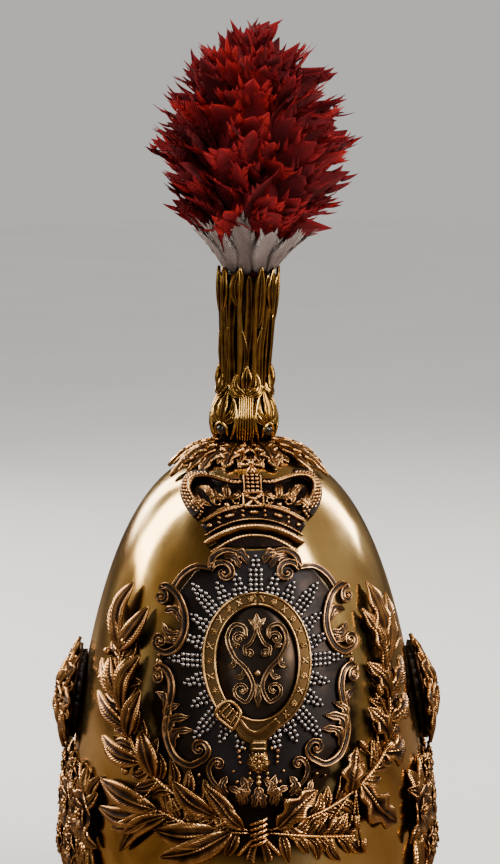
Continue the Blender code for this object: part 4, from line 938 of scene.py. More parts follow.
square_middle = (0.0, (square_low + square_high) / 2)
for corner in square:
    line(crown, (square_middle, corner), CROWN_LIFT + 0.0018, (0.0006, 0.0019), 0.0016)
bead(crown, *square_middle, CROWN_LIFT + 0.0034, 0.0011)

# The ball and cross on top, its arms ending in buds
bead(crown, *crown_spot(0.0, 0.825), CROWN_LIFT + 0.0020, 0.0027)
cross_middle = crown_spot(0.0, 0.915)
for angle in (0.0, 0.5 * pi, pi, 1.5 * pi):
    tip = around(cross_middle, angle, 0.0050, 0.0046)
    line(crown, (cross_middle, tip), CROWN_LIFT + 0.0016, (0.0008, 0.0022), 0.0022, steps=5)
    for turn in (-0.3, 0.0, 0.3):
        bead(crown, *around(cross_middle, angle + turn, 0.0058, 0.0054), CROWN_LIFT + 0.0024, 0.0009)
bead(crown, *cross_middle, CROWN_LIFT + 0.0036, 0.0013)
piece("struck_crown", crown, COPPER, "copper_bronze", "crown", bend=from_chart)


# Laurel and oak sprays. Two cast branches in copper bronze rise round the shield from a tie at its foot:
# laurel with berries on the helmet's right, oak with acorns on its left. They are pinned to the skull.
TIE_ALONG, SPRAY_REACH, SPRAY_RISE = 0.0618, 0.097, 0.115
STEM_HALF = 0.0011
LAUREL_STEMS = (
    ((0.05, 0.00), (0.27, 0.08), (0.49, 0.17), (0.64, 0.28), (0.73, 0.42), (0.77, 0.58), (0.77, 0.72)),
    ((0.05, -0.01), (0.28, 0.00), (0.52, 0.06)),
)
OAK_STEMS = (
    ((0.05, 0.00), (0.37, 0.08), (0.63, 0.20), (0.75, 0.31), (0.78, 0.48), (0.73, 0.64)),
    ((0.05, -0.01), (0.30, -0.04), (0.52, -0.06)),
)
# Leaves: which stem, where on it the leaf starts, where its tip lies, and its width as a share of a leaf's
LAUREL_LEAVES = (
    (0, 0.97, 0.83, 0.92, 0.9), (0, 1.00, 0.68, 1.00, 1.0), (0, 0.98, 0.57, 0.91, 1.0),
    (0, 0.74, 0.93, 0.64, 0.8), (0, 0.76, 0.84, 0.66, 0.9), (0, 0.72, 0.70, 0.68, 1.0),
    (0, 0.68, 0.62, 0.70, 0.9), (0, 0.62, 0.95, 0.50, 0.9), (0, 0.58, 0.61, 0.55, 1.0),
    (0, 0.45, 0.88, 0.32, 1.1), (0, 0.38, 0.61, 0.38, 1.2), (1, 1.00, 0.88, 0.13, 1.3),
    (1, 1.00, 0.91, 0.01, 1.1), (1, 0.97, 0.80, -0.06, 0.9), (1, 0.90, 0.74, -0.15, 0.9),
    (0, 0.13, 0.43, 0.19, 1.1), (0, 0.04, 0.27, 0.19, 0.9), (0, 0.02, 0.19, 0.12, 0.8),
    (1, 0.30, 0.53, -0.03, 1.5), (1, 0.20, 0.50, -0.14, 1.3),
)
OAK_LEAVES = (
    (0, 0.03, 0.29, 0.16, 1.0), (0, 0.28, 0.52, 0.31, 1.0), (0, 0.33, 0.79, -0.05, 1.2),
    (0, 1.00, 0.65, 1.00, 1.1), (0, 0.98, 0.82, 0.93, 0.8), (0, 0.96, 0.59, 0.89, 0.7),
    (0, 0.80, 0.61, 0.66, 0.7), (0, 0.82, 0.93, 0.64, 0.9), (0, 0.69, 0.93, 0.48, 0.9),
    (0, 0.53, 0.88, 0.29, 1.1), (0, 0.60, 0.60, 0.47, 0.8),
)
# Fruit: where its stalk leaves the first stem, and where it lies
LAUREL_FRUIT = ((0.86, 0.86, 0.68), (0.90, 0.72, 0.74), (0.36, 0.60, 0.09), (0.50, 0.70, 0.20),
                (0.66, 0.90, 0.56), (0.20, 0.38, 0.02), (0.60, 0.66, 0.46))
OAK_FRUIT = ((0.27, 0.38, 0.03), (0.31, 0.50, 0.02), (0.30, 0.54, -0.09), (0.98, 0.83, 0.69),
             (0.45, 0.56, 0.31), (0.55, 0.86, 0.40), (0.70, 0.68, 0.52), (0.90, 0.68, 0.78))
# Widths of the big leaves and of the small ones under them, and pairs of small ones on each stem
LAUREL_WIDTH, OAK_WIDTH = 0.0098, 0.0150
LAUREL_SMALL, OAK_SMALL = 0.0068, 0.0060
SMALL_PAIRS = (16, 7)
FRUIT_LIFT = 0.0030


def spray_spot(side, across, up):
    return numpy.array((side * across * SPRAY_REACH, TIE_ALONG + up * SPRAY_RISE))


def on_stem(path, share):
    return path[round(share * (len(path) - 1))]


def acorn(shape, foot, spot, lift):
    """An acorn on its stalk: a smooth nut in a knobbly cup."""
    axis = unit(numpy.array(spot) - foot)
    line(shape, (foot, spot), lift * 0.6, 0.0006, 0.0012)
    nut = [spot + axis * reach for reach in numpy.linspace(-0.0005, 0.0052, 9)]
    half = 0.0020 * numpy.sin(pi * numpy.linspace(0.3, 0.97, 9)) ** 0.7
    strip(shape, lifted(nut, lift), half, 0.0034)
    side = numpy.array((axis[1], -axis[0]))
    for ring in range(3):
        for place in range(-2, 3):
            knob = spot + axis * (ring * 0.0009 - 0.0006) + side * place * 0.0010
            bead(shape, *knob, lift + 0.0024 - 0.0005 * place * place, 0.0007, fine=1)


def berry(shape, foot, spot, lift):
    """A round berry on its stalk."""
    line(shape, (foot, spot), lift * 0.6, 0.0005, 0.0011)
    bead(shape, *spot, lift + 0.0010, 0.0021)
    bead(shape, *spot, lift + 0.0030, 0.0005, fine=1)


def spray(name, node, side, stems, leaves, width, lobes, small, fruit, fruit_shape, rng):
    """A branch with a layer of small leaves under its big ones, and its fruit."""
    shape = empty_shape()
    paths = [smooth([spray_spot(side, *point) for point in stem]) for stem in stems]
    for path in paths:
        strip(shape, lifted(path, 0.0008), tapered(len(path), 0.5 * STEM_HALF, STEM_HALF, 0.3), 0.0026)
    for path, pairs in zip(paths, SMALL_PAIRS):
        for pair in range(1, pairs + 1):
            share = pair / (pairs + 1)
            foot = on_stem(path, share)
            ahead = unit(on_stem(path, min(share + 0.06, 1.0)) - foot)
            for turn in (0.95, -0.95):
                turn += rng.uniform(-0.25, 0.25)
                way = numpy.array((ahead[0] * cos(turn) - ahead[1] * sin(turn),
                                   ahead[0] * sin(turn) + ahead[1] * cos(turn)))
                tip = foot + way * small * rng.uniform(1.7, 2.5)
                leaf(shape, foot, tip, small, 0.0003, 0.0012, 0.0012, 6, bow=rng.uniform(-0.2, 0.2))
    for stem, start, across, up, broad in leaves:
        foot = on_stem(paths[stem], start)
        tip = spray_spot(side, across, up)
        lift = rng.uniform(0.0018, 0.0030)
        bow = rng.uniform(-0.14, 0.14)
        leaf(shape, foot, tip, width * broad, lift, 0.0022, 0.0022, 12, bow=bow, lobes=lobes)
    for start, across, up in fruit:
        fruit_shape(shape, on_stem(paths[0], start), spray_spot(side, across, up), FRUIT_LIFT)
    piece(name, shape, COPPER, "copper_bronze", node, bend=from_chart)


spray("laurel_branch", "laurel_spray", -1, LAUREL_STEMS, LAUREL_LEAVES, LAUREL_WIDTH, 0, LAUREL_SMALL,
      LAUREL_FRUIT, berry, random.Random(3))
spray("oak_branch", "oak_spray", 1, OAK_STEMS, OAK_LEAVES, OAK_WIDTH, 3, OAK_SMALL, OAK_FRUIT, acorn,
      random.Random(5))

# The tie: a twisted knot of cast ribbon where the stems cross, with two short ends and two cut stems
tie = empty_shape()
for turn in range(5):
    rise = TIE_ALONG - 0.0060 + turn * 0.0026
    twist = smooth(((-0.0034, rise - 0.0012), (0.0, rise), (0.0034, rise + 0.0014)), 6)
    lift = 0.0016 + 0.0016 * numpy.sin(pi * numpy.linspace(0, 1, len(twist)))
    strip(tie, lifted(twist, lift), 0.0011, 0.0022)
for hand in (1, -1):
    ribbon = ((hand * 0.0008, TIE_ALONG - 0.004), (hand * 0.0030, TIE_ALONG - 0.009),
              (hand * 0.0046, TIE_ALONG - 0.0150))
    line(tie, ribbon, 0.0008, (0.0012, 0.0026), 0.0016, HOLLOW, 8)
    stub = ((hand * 0.0010, TIE_ALONG - 0.002), (hand * 0.0100, TIE_ALONG - 0.012))
    line(tie, stub, 0.0010, 0.0013, 0.0024, steps=8)
piece("ribbon_tie", tie, COPPER, "copper_bronze", "spray_tie", bend=from_chart)


# Garlands. A band of roses, leaves and strings of beads, struck in copper bronze, runs along each side above
# the rim. It is pinned to the skull.
GARLAND_START, GARLAND_END = radians(57), radians(123)
GARLAND_FOOT, GARLAND_TOP = 0.012, 0.080
# Heights on the band as shares of it: the roses' hearts, the small roses' and the dark ground's middle
ROSE_UP, LOW_ROSE_UP, HIGH_ROSE_UP, GROUND_UP = 0.64, 0.33, 0.90, 0.52
ROSES, SPRIGS = 5, 15
ROSE_RADIUS, LOW_ROSE_RADIUS, HIGH_ROSE_RADIUS = 0.0112, 0.0074, 0.0066
# Sprigs of two leaves: height of the foot, which way they point, how far they open, and their reach
SPRIG_LEAVES = ((0.46, -pi / 2, 0.45, 0.026), (0.74, pi / 2, 0.7, 0.017))
PETAL = ((-1, 0.75, 0.8), (-0.86, 1.0, 1.0), (-0.5, 0.72, 0.6), (0, 0.50, 0.35), (0.5, 0.72, 0.6),
         (0.86, 1.0, 1.0), (1, 0.75, 0.8), (0.6, 0.1, 0.0), (-0.6, 0.1, 0.0))


def petals(shape, centre, inner, outer, width, lift, height, start=0.0):
    """A ring of five cupped petals round a centre."""
    for petal in range(5):
        angle = start + 2 * pi * petal / 5
        way = numpy.array((cos(angle), sin(angle)))
        path = [centre + way * (inner + (outer - inner) * share) for share in (0.0, 0.35, 0.7, 0.92, 1.0)]
        half = width / 2 * numpy.array((0.30, 0.78, 1.0, 0.80, 0.30))
        lifts = lift + height * numpy.array((0.0, 0.35, 0.75, 0.85, 0.70))
        strip(shape, lifted(path, lifts), half, height * 0.55, PETAL)


def rose(shape, centre, radius, lift):
    """A full-blown rose: two rings of broad petals round a beaded heart."""
    centre = numpy.array(centre)
    petals(shape, centre, 0.25 * radius, radius, 1.25 * radius, lift, 0.0030)
    petals(shape, centre, 0.15 * radius, 0.62 * radius, 0.85 * radius, lift + 0.0014, 0.0026, pi / 5)
    for seed in range(6):
        bead(shape, *around(centre, 2 * pi * seed / 6, 0.2 * radius), lift + 0.0034, 0.10 * radius, fine=1)
    bead(shape, *centre, lift + 0.0036, 0.15 * radius)


def garland(name, node, side, rng):
    shape = empty_shape()
    height = GARLAND_TOP - GARLAND_FOOT

    def spot(share, up):
        """A place on the band: shares of its length from the front and of its height."""
        angle = GARLAND_START + (GARLAND_END - GARLAND_START) * share
        return numpy.array((side * HALF_WIDTH * angle, GARLAND_FOOT + up * height))

    for sprig in range(SPRIGS):
        for up, way, opening, reach in SPRIG_LEAVES:
            foot = spot((sprig + 0.5) / SPRIGS, up)
            for turn in (-1, 1):
                aim = way + turn * opening * rng.uniform(0.3, 1.0)
                tip = foot + numpy.array((cos(aim), sin(aim))) * reach * rng.uniform(0.85, 1.1)
                tip[1] = min(max(tip[1], GARLAND_FOOT - 0.001), GARLAND_TOP + 0.001)
                lift = 0.0006 + rng.uniform(0, 0.0008)
                leaf(shape, foot, tip, 0.0072, lift, 0.0020, 0.0016, 8, bow=rng.uniform(-0.2, 0.2))
    for bloom in range(ROSES):
        heart = spot((bloom + 0.5) / ROSES, ROSE_UP)
        rose(shape, heart, ROSE_RADIUS, 0.0014)
        for turn in (0.75, 2.4, -0.75, -2.4):
            foot = numpy.array(around(heart, turn, 0.009))
            leaf(shape, foot, around(foot, turn, 0.011), 0.0066, 0.0018, 0.0020, 0.0020, 8, bow=0.15)
        for drop in range(5):
            bead(shape, *spot((bloom + 0.5) / ROSES, 0.40 - 0.075 * drop), 0.0018, 0.0021 - 0.00022 * drop)
        if bloom:
            rose(shape, spot(bloom / ROSES, LOW_ROSE_UP), LOW_ROSE_RADIUS, 0.0016)
            rose(shape, spot(bloom / ROSES, HIGH_ROSE_UP), HIGH_ROSE_RADIUS, 0.0014)
    # The dark ground that holds the flowers together, its edges hidden under their leaves
    path = [spot(share, GROUND_UP) for share in numpy.linspace(0.01, 0.99, 60)]
    strip(shape, lifted(path, 0.0), 0.38 * height, 0.0007, FLAT)
    piece(name, shape, COPPER, "copper_bronze", node, bend=from_chart)


garland("left_garland", "garland_left", -1, random.Random(11))
garland("right_garland", "garland_right", 1, random.Random(12))


# Side bosses. A large cast rosette of pointed and lobed leaves stands off each side of the skull on a grooved
# drum, dark as painted shade under the rosette, and both are riveted through it.
BOSS_ANGLE, BOSS_HEIGHT = radians(93), 0.1066
BOSS_RADIUS, DRUM_RADIUS, DRUM_LENGTH = 0.0290, 0.0200, 0.0046
DRUM_GROOVES, GROOVE_DEPTH = 20, 0.03
DOME_FOOT, DOME_RISE = 0.0036, 0.0056
HEAD_BEADS, HEAD_REACH = 10, 0.0042
# Rings of leaves from the rim to the heart: how many, turn as a share of the step between two, inner and
# outer reach, width, rise over the dome, and lobes
BOSS_RINGS = (
    (10, ((0.5, 0.008, 0.92 * BOSS_RADIUS, 0.0110, -0.0012, 0), (0, 0.007, BOSS_RADIUS, 0.0150, 0.0, 3))),
    (8, ((0, 0.003, 0.0180, 0.0105, 0.0016, 0), (0.5, 0.002, 0.0120, 0.0080, 0.0026, 0))),
)


def boss_place(side):
    """The seat of a side boss: on the skull's side, its +Z pointing off the metal."""
    spot, above = (Vector(off_skull(side * BOSS_ANGLE, BOSS_HEIGHT, lift)) for lift in (0.0, 0.01))
    out = (above - spot).normalized()
    return Matrix.Translation(spot) @ out.to_track_quat("Z", "Y").to_matrix().to_4x4()


def disc(shape, radius, shares, lift, rise, blunt=0.0):
    """A flat round plate, as one strip across it, whose ends may be blunt."""
    half = radius * numpy.sqrt(1 + blunt - shares ** 2)
    strip(shape, lifted([(radius * across, 0.0) for across in shares], lift), half, rise, FLAT)


def boss_leaf(shape, angle, inner, outer, width, raised, lobes):
    """A leaf that follows the rosette's dome from its heart to its rim."""
    share = numpy.linspace(0.0, 1.0, 20)
    reach = inner + (outer - inner) * share
    path = numpy.column_stack((reach * cos(angle), reach * sin(angle)))
    half = width / 2 * (0.15 + 0.85 * numpy.sin(pi * share ** 0.8) ** 0.8)
    half *= 1.0 + 0.16 * numpy.cos(2 * pi * lobes * share) if lobes else 1.0
    half[-1] = 0.0002
    lifts = DOME_FOOT + DOME_RISE * numpy.cos(reach / BOSS_RADIUS * 0.46 * pi) + raised
    strip(shape, lifted(path, lifts), half, 0.0026 * (0.5 + 0.5 * numpy.sin(pi * share)), LEAFY)


def boss(side_name, side):
    place = boss_place(side)
    drum = empty_shape()
    rim = []
    for turn in numpy.linspace(0.0, 2 * pi, DRUM_GROOVES * 4 + 1):
        rim.append(around((0.0, 0.0), turn, DRUM_RADIUS * (1 + GROOVE_DEPTH * cos(DRUM_GROOVES * turn))))
    strip(drum, lifted(rim, 0.0), 0.0030, DRUM_LENGTH)
    disc(drum, DRUM_RADIUS, numpy.linspace(-1, 1, 30), 0.0, DRUM_LENGTH * 0.8, blunt=0.001)
    drum.transform(place)
    # The drum's dark metal is painted shade under the rosette.
    piece("drum_" + side_name, drum, DARK, "dark_patina", "boss_drum_" + side_name)
    flower = empty_shape()
    disc(flower, 0.9 * BOSS_RADIUS, numpy.linspace(-0.96, 0.96, 40), DOME_FOOT - 0.0010, 0.0014)
    for count, leaves in BOSS_RINGS:
        for number in range(count):
            for turn, *sizes in leaves:
                boss_leaf(flower, 2 * pi * number / count + turn * 2 * pi / count, *sizes)
    top = DOME_FOOT + DOME_RISE + 0.0026
    for seed in range(HEAD_BEADS):
        bead(flower, *around((0.0, 0.0), 2 * pi * seed / HEAD_BEADS, HEAD_REACH), top, 0.0011)
    bead(flower, 0.0, 0.0, top, 0.0026, 0.7)
    flower.transform(place)
    piece("rosette_" + side_name, flower, COPPER, "copper_bronze", "boss_rosette_" + side_name)


boss("left", -1)
boss("right", 1)


# Canopy. A cast plate of pointed leaves, in three layers round a fluted hub, spreads over the top of the
# skull and carries the plume's socket.
CANOPY_LEAVES, CANOPY_FLUTES = 8, 32
CANOPY_TIP, CANOPY_FRONT_TIP = 0.0418, 0.0322
CANOPY_HUB_RADIUS, CANOPY_HUB_LIFT = 0.0140, 0.0048
# The leaf between two main ones is shorter, and shortest at the front, where the crown's cross stands. The
# leaves beside a main one turn away from it.
BETWEEN_REACH, FRONT_REACH, BESIDE_REACH, BESIDE_TURN = 0.86, 0.60, 0.90, 0.20
canopy = empty_shape()


def plan_way(angle):
    """Which way an angle from the front points on the plan, drawn out as the skull's oval is."""
    return numpy.array((sin(angle), -cos(angle) * (FRONT if cos(angle) > 0 else BACK) / HALF_WIDTH))


def canopy_leaf(angle, root, reach, width, lift, lobes, height):
    """A leaf that runs out from the hub and ends in a tip just off the skull."""
    way = plan_way(angle)
    shares = numpy.linspace(0.0, 1.0, 28)
    path = [way * (root + (reach - root) * share) for share in shares]
    half = width / 2 * (0.22 + 0.78 * numpy.sin(pi * shares ** 0.9) ** 0.8)
    half *= 0.78 + 0.26 * numpy.cos(2 * pi * lobes * (shares - 0.1))
    half[-1] = 0.0002
    lifts = lift + (CANOPY_HUB_LIFT - 0.001) * (1 - shares) ** 1.6 + 0.0016 * numpy.sin(pi * shares)
    strip(canopy, lifted(path, lifts), half, height * (0.6 + 0.4 * numpy.sin(pi * shares)), LEAFY)


for leaf_number in range(CANOPY_LEAVES):
    angle = 2 * pi * (leaf_number + 0.5) / CANOPY_LEAVES
    reach = CANOPY_FRONT_TIP if leaf_number in (0, CANOPY_LEAVES - 1) else CANOPY_TIP
    between_reach = reach * (FRONT_REACH if leaf_number == CANOPY_LEAVES - 1 else BETWEEN_REACH)
    canopy_leaf(angle + pi / CANOPY_LEAVES, 0.009, between_reach, 0.0120, 0.0002, 4, 0.0014)
    for turn in (-BESIDE_TURN, BESIDE_TURN):
        canopy_leaf(angle + turn, 0.011, reach * BESIDE_REACH, 0.0080, 0.0008, 3, 0.0016)
    canopy_leaf(angle, 0.009, reach, 0.0125, 0.0016, 5, 0.0022)
for flute in range(CANOPY_FLUTES):
    way = plan_way(2 * pi * flute / CANOPY_FLUTES)
    path = [way * reach for reach in numpy.linspace(0.004, CANOPY_HUB_RADIUS, 8)]
    strip(canopy, lifted(path, CANOPY_HUB_LIFT - 0.0020), numpy.linspace(0.0004, 0.0013, 8), 0.0020)
piece("leaf_canopy", canopy, COPPER, "copper_bronze", "canopy", bend=from_plan)


# Calyx. A cast and gilded bulb of leaves stands on the canopy and grips the foot of the tube. Ribs fan up
# between four palmettes, each over a round recess whose shade is painted as a dark glossy bead, and
# five-lobed leaves stand against the tube.
SEAT_ASIDE, SEAT_LEAN = -0.0020, radians(1.8)
SOCKET_SEAT = (Matrix.Translation((SEAT_ASIDE, 0.0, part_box("calyx")[0].z + 0.0004))
               @ Matrix.Rotation(SEAT_LEAN, 4, "Y"))
CHART_RADIUS = 0.015
CALYX_BORE, CALYX_TOP = 0.0080, 0.0270
SOCKET_FOOT, SOCKET_TOP, SOCKET_WALL = 0.0274, 0.0903, 0.0015
# Height above the seat and radius: the bulb, and the tube above it
BULB = ((0.0000, 0.0138), (0.0030, 0.0155), (0.0075, 0.0166), (0.0125, 0.0165), (0.0180, 0.0150),
        (0.0230, 0.0130), (CALYX_TOP, 0.0120))
TUBE = ((SOCKET_FOOT, 0.0114), (0.0400, 0.0118), (SOCKET_TOP, 0.0146))
TURNED_COLUMNS = 96


def off_socket(points):
    """Wraps a chart of the bulb and tube, distance round, height and lift, round their leaning axis."""
    turn = points[:, 0] / CHART_RADIUS
    radius = numpy.interp(points[:, 1], *zip(*(BULB + TUBE))) + points[:, 2]
    upright = numpy.column_stack((radius * numpy.sin(turn), -radius * numpy.cos(turn), points[:, 1],
                                  numpy.ones(len(points))))
    return (upright @ numpy.array(SOCKET_SEAT).T)[:, :3]


def wrap(shape):
    """Bends a shape made on the socket's chart round the socket."""
    spots = off_socket(numpy.array([vert.co for vert in shape.verts]))
    for vert, spot in zip(shape.verts, spots):
        vert.co = spot


def turned(shape, profile):
    """Adds a closed turned body round the socket's axis, dark all over with patina and painted shade that
    shows between the ribs and leaves laid on it.
    """
    sides = len(profile)
    part = empty_shape()
    bmesh.ops.create_grid(part, x_segments=TURNED_COLUMNS, y_segments=sides, size=0.5)
    for vert in part.verts:
        height, lift = profile[round((vert.co.y + 0.5) * sides) % sides]
        vert.co = ((vert.co.x + 0.5) * 2 * pi * CHART_RADIUS, height, lift)
    wrap(part)
    bmesh.ops.remove_doubles(part, verts=part.verts, dist=MERGE)
    gather(shape, part)


GOLD = antique("rich_gold", (0.012, 0.006, 0.002), (0.13, 0.055, 0.010), (0.58, 0.32, 0.070),
               (0.88, 0.60, 0.22), rough=(0.38, 0.12))
# Painted shade for the recesses: a dark glossy surface.
RECESS_SHADE, recess_shade_tree, recess_shade_shader = surface("painted_recess_shade")
recess_shade_tint = ramp(recess_shade_tree, noise(recess_shade_tree, 400.0), (0.3, (0.006, 0.004, 0.003)),
                   (0.8, (0.020, 0.012, 0.008)))
recess_polish = between(recess_shade_tree, noise(recess_shade_tree, 900.0), 0.06, 0.20)
recess_shade_tree.links.new(recess_shade_tint, recess_shade_shader.inputs["Base Color"])
recess_shade_tree.links.new(recess_polish, recess_shade_shader.inputs["Roughness"])

# Places on the bulb, across from the middle of a palmette or a stem and up from the seat: the brow over a
# recess, the pointed arch, a palmette's side leaves with their widths, and the first rib beside a stem's
# middle, whose places across are multiplied for the others
BROW = ((-0.0034, 0.0026), (-0.0030, 0.0072), (0.0, 0.0096), (0.0030, 0.0072), (0.0034, 0.0026))
ARCH = ((0.0048, 0.0008), (0.0066, 0.0060), (0.0076, 0.0120), (0.0060, 0.0200), (0.0020, 0.0262),
        (0.0002, 0.0284))
PALMETTE = (((0.0010, 0.0100), (0.0046, 0.0218), 0.0034), ((0.0022, 0.0090), (0.0062, 0.0160), 0.0028))
RIB = ((0.00125, 0.0003), (0.00120, 0.0070), (0.0010, 0.0140), (0.0011, 0.0200), (0.0012, 0.0255))
RIB_SHORTER = 0.0006
# Side lobes against the tube: root, tip, width, lift, height, curl, steps and bow
LOBES = (((0.0006, 0.0236), (0.0062, 0.0346), 0.0048, 0.0008, 0.0016, 0.0012, 7, 0.25),
         ((0.0030, 0.0230), (0.0094, 0.0300), 0.0036, 0.0006, 0.0014, 0.0008, 6, 0.20))

bulb = empty_shape()
inside = [(CALYX_TOP, CALYX_BORE - BULB[-1][1]), (0.0, CALYX_BORE - BULB[0][1])]
turned(bulb, [(height, 0.0) for height, radius in BULB] + inside)
bulb_leaves = empty_shape()
recess_shades = empty_shape()
for quarter in range(4):
    middle = (quarter + 0.5) * pi / 2 * CHART_RADIUS
    # A dark bead paints the shade in the recess.
    bead(recess_shades, middle, 0.0056, 0.0, 0.0029)
    brow = smooth([(middle + across, up) for across, up in BROW], 5)
    strip(bulb_leaves, lifted(brow, 0.0), tapered(len(brow), 0.0004, 0.0010), 0.0019)
    leaf(bulb_leaves, (middle, 0.0094), (middle, 0.0262), 0.0056, 0.0003, 0.0016, 0.0004, 6)
    for hand in (1, -1):
        for base, tip, width in PALMETTE:
            start, end = (middle + hand * base[0], base[1]), (middle + hand * tip[0], tip[1])
            leaf(bulb_leaves, start, end, width, 0.0002, 0.0014, 0.0003, 5, bow=hand * 0.22)
        side = smooth([(middle + hand * across, up) for across, up in ARCH], 5)
        strip(bulb_leaves, lifted(side, 0.0), tapered(len(side), 0.0004, 0.0010), 0.0018)
    stem = quarter * pi / 2 * CHART_RADIUS
    for rib in range(-3, 4):
        top = (stem + rib * RIB[-1][0], RIB[-1][1] - RIB_SHORTER * abs(rib))
        path = smooth([(stem + rib * across, up) for across, up in RIB[:-1]] + [top], 5)
        strip(bulb_leaves, lifted(path, 0.0), tapered(len(path), 0.0003, 0.00058, 0.4), 0.0014)
    leaf(bulb_leaves, (stem, 0.0250), (stem, 0.0388), 0.0062, 0.0010, 0.0018, 0.0012, 7)
    for hand in (1, -1):
        for base, tip, *sizes, bow in LOBES:
            start, end = (stem + hand * base[0], base[1]), (stem + hand * tip[0], tip[1])
            leaf(bulb_leaves, start, end, *sizes, bow=hand * bow)
wrap(bulb_leaves)
join(bulb, bulb_leaves)
piece("leafy_bulb", bulb, GOLD, "gold", "calyx")
piece("bulb_recess_shade", recess_shades, RECESS_SHADE, "dark_patina", bend=off_socket)


# Plume socket. A tall gilt tube, cast with wavy ribs that rise like flames and end in leaf tips at its mouth.
# The plume's stem stands in it.
RIBS, FLAMES, RIB_FOOT = 20, 10, 0.0276
tube = empty_shape()
tube_heights = (SOCKET_FOOT, 0.0400, 0.0600, 0.0850)
inner_heights = [(height, -SOCKET_WALL) for height in reversed(tube_heights)]
turned(tube, [(height, 0.0) for height in tube_heights] + inner_heights)
tube_ribs = empty_shape()
rng = random.Random(21)
pitch = 2 * pi * CHART_RADIUS / RIBS
for rib in range(RIBS):
    sway, start = rng.uniform(0.25, 0.5) * pitch * 0.4, rng.uniform(0.0, 2 * pi)
    top = SOCKET_TOP - (0.0006 if rib % 2 else 0.0042) - rng.uniform(0.0, 0.0012)
    ups = numpy.linspace(RIB_FOOT, top, 40)
    climb = ups - RIB_FOOT
    across = rib * pitch + sway * numpy.sin(start + climb / 0.0098) * numpy.minimum(climb / 0.02, 1.0)
    point = numpy.clip((1.0 - numpy.linspace(0.0, 1.0, len(ups))) / 0.10, 0.02, 1.0) ** 0.6
    half = pitch * (0.44 + 0.09 * numpy.sin(start + ups / 0.006)) * point
    section = (HOLLOW, ROUND, DOUBLE_LINE)[rib % 3]
    strip(tube_ribs, lifted(numpy.column_stack((across, ups)), 0.0), half, 0.0015, section)
for flame in range(FLAMES):
    middle = (flame + 0.5) * 2 * pi * CHART_RADIUS / FLAMES
    foot, top = rng.uniform(0.058, 0.070), SOCKET_TOP - rng.uniform(0.0004, 0.0030)
    root = (middle + rng.uniform(-0.002, 0.002), foot)
    tip = (middle + rng.uniform(-0.0012, 0.0012), top)
    leaf(tube_ribs, root, tip, 0.0062, 0.0009, 0.0012, 0.0004, 12, bow=rng.uniform(-0.10, 0.10))
    foot, top = rng.uniform(0.030, 0.040), rng.uniform(0.050, 0.066)
    root = (middle + pitch * 0.5, foot)
    tip = (middle + pitch * 0.5 + rng.uniform(-0.0012, 0.0012), top)
    leaf(tube_ribs, root, tip, 0.0026, 0.0010, 0.0010, 0.0002, 10, bow=rng.uniform(-0.12, 0.12))
wrap(tube_ribs)
join(tube, tube_ribs)
piece("flame_tube", tube, GOLD, "gold", "plume_socket")


# Plume. Nearly two hundred short feathers are tied in tiers to a stem that stands in the tube: dyed crimson
# ones that rise and open outward all round, and a ring of white ones at their foot.

# Height above the tube's mouth and reach of the feathers' tips from the plume's axis
PLUME_OUTLINE = ((0.000, 0.016), (0.009, 0.024), (0.021, 0.036), (0.030, 0.042), (0.040, 0.047),
                 (0.052, 0.051), (0.065, 0.052), (0.077, 0.050), (0.090, 0.046), (0.102, 0.038),
                 (0.108, 0.031), (0.1146, 0.022), (0.119, 0.013), (0.1210, 0.006))
# Height of the tips, how steeply the feathers climb in degrees, and how many are in the tier
TIERS = ((0.022, 62, 11), (0.031, 57, 13), (0.039, 54, 14), (0.047, 53, 15), (0.055, 53, 16), (0.063, 53, 16),
         (0.071, 55, 16), (0.079, 57, 15), (0.087, 60, 15), (0.095, 64, 13), (0.102, 69, 12), (0.108, 75, 10),
         (0.113, 80, 9), (0.117, 84, 7), (0.120, 88, 5))
# The bound stem inside, dark red all over; it also paints the shade deep inside the plume: its width and
# height as shares of the plume's, the plume's top at its middle, how deep the stem stands in the tube, its
# radius there and its tone
CORE_SHARE, CORE_HEIGHT, CORE_TOP = 0.50, 0.74, 0.119
CORE_FOOT, CORE_RADIUS, CORE_SHADE_TONE = -0.035, 0.009, 0.30
FEATHER_LENGTH, FEATHER_WIDTH = 0.050, 0.0215
# The plume is fuller on its left side than its right near its foot
FULL_BELOW, FULLNESS, SLIMNESS = 0.045, 0.24, 0.20
# Section of a feather, cupped: across, rise and tone, lighter at the edges as a painted highlight; and its
# widths along its length
FEATHER = ((-1, -1.0, 1.0), (-0.6, -0.3, 0.85), (0, 0.10, 0.62), (0.6, -0.3, 0.85), (1, -1.0, 1.0),
           (0.5, -0.35, 0.5), (-0.5, -0.35, 0.5))
FEATHER_WIDTHS = numpy.array((0.30, 0.60, 0.88, 1.0, 0.98, 0.88, 0.68, 0.38, 0.015))
# The loose barbs at its edges: how many, their section, and their widths as shares of the feather's
BARBS = 12
BARB = ((-1, 0, 1.0), (0, 1, 1.0), (1, 0, 1.0))
BARB_WIDTHS = numpy.array((0.09, 0.08, 0.06, 0.032, 0.003))
UPRIGHT = numpy.array((0.0, 0.0, 1.0))


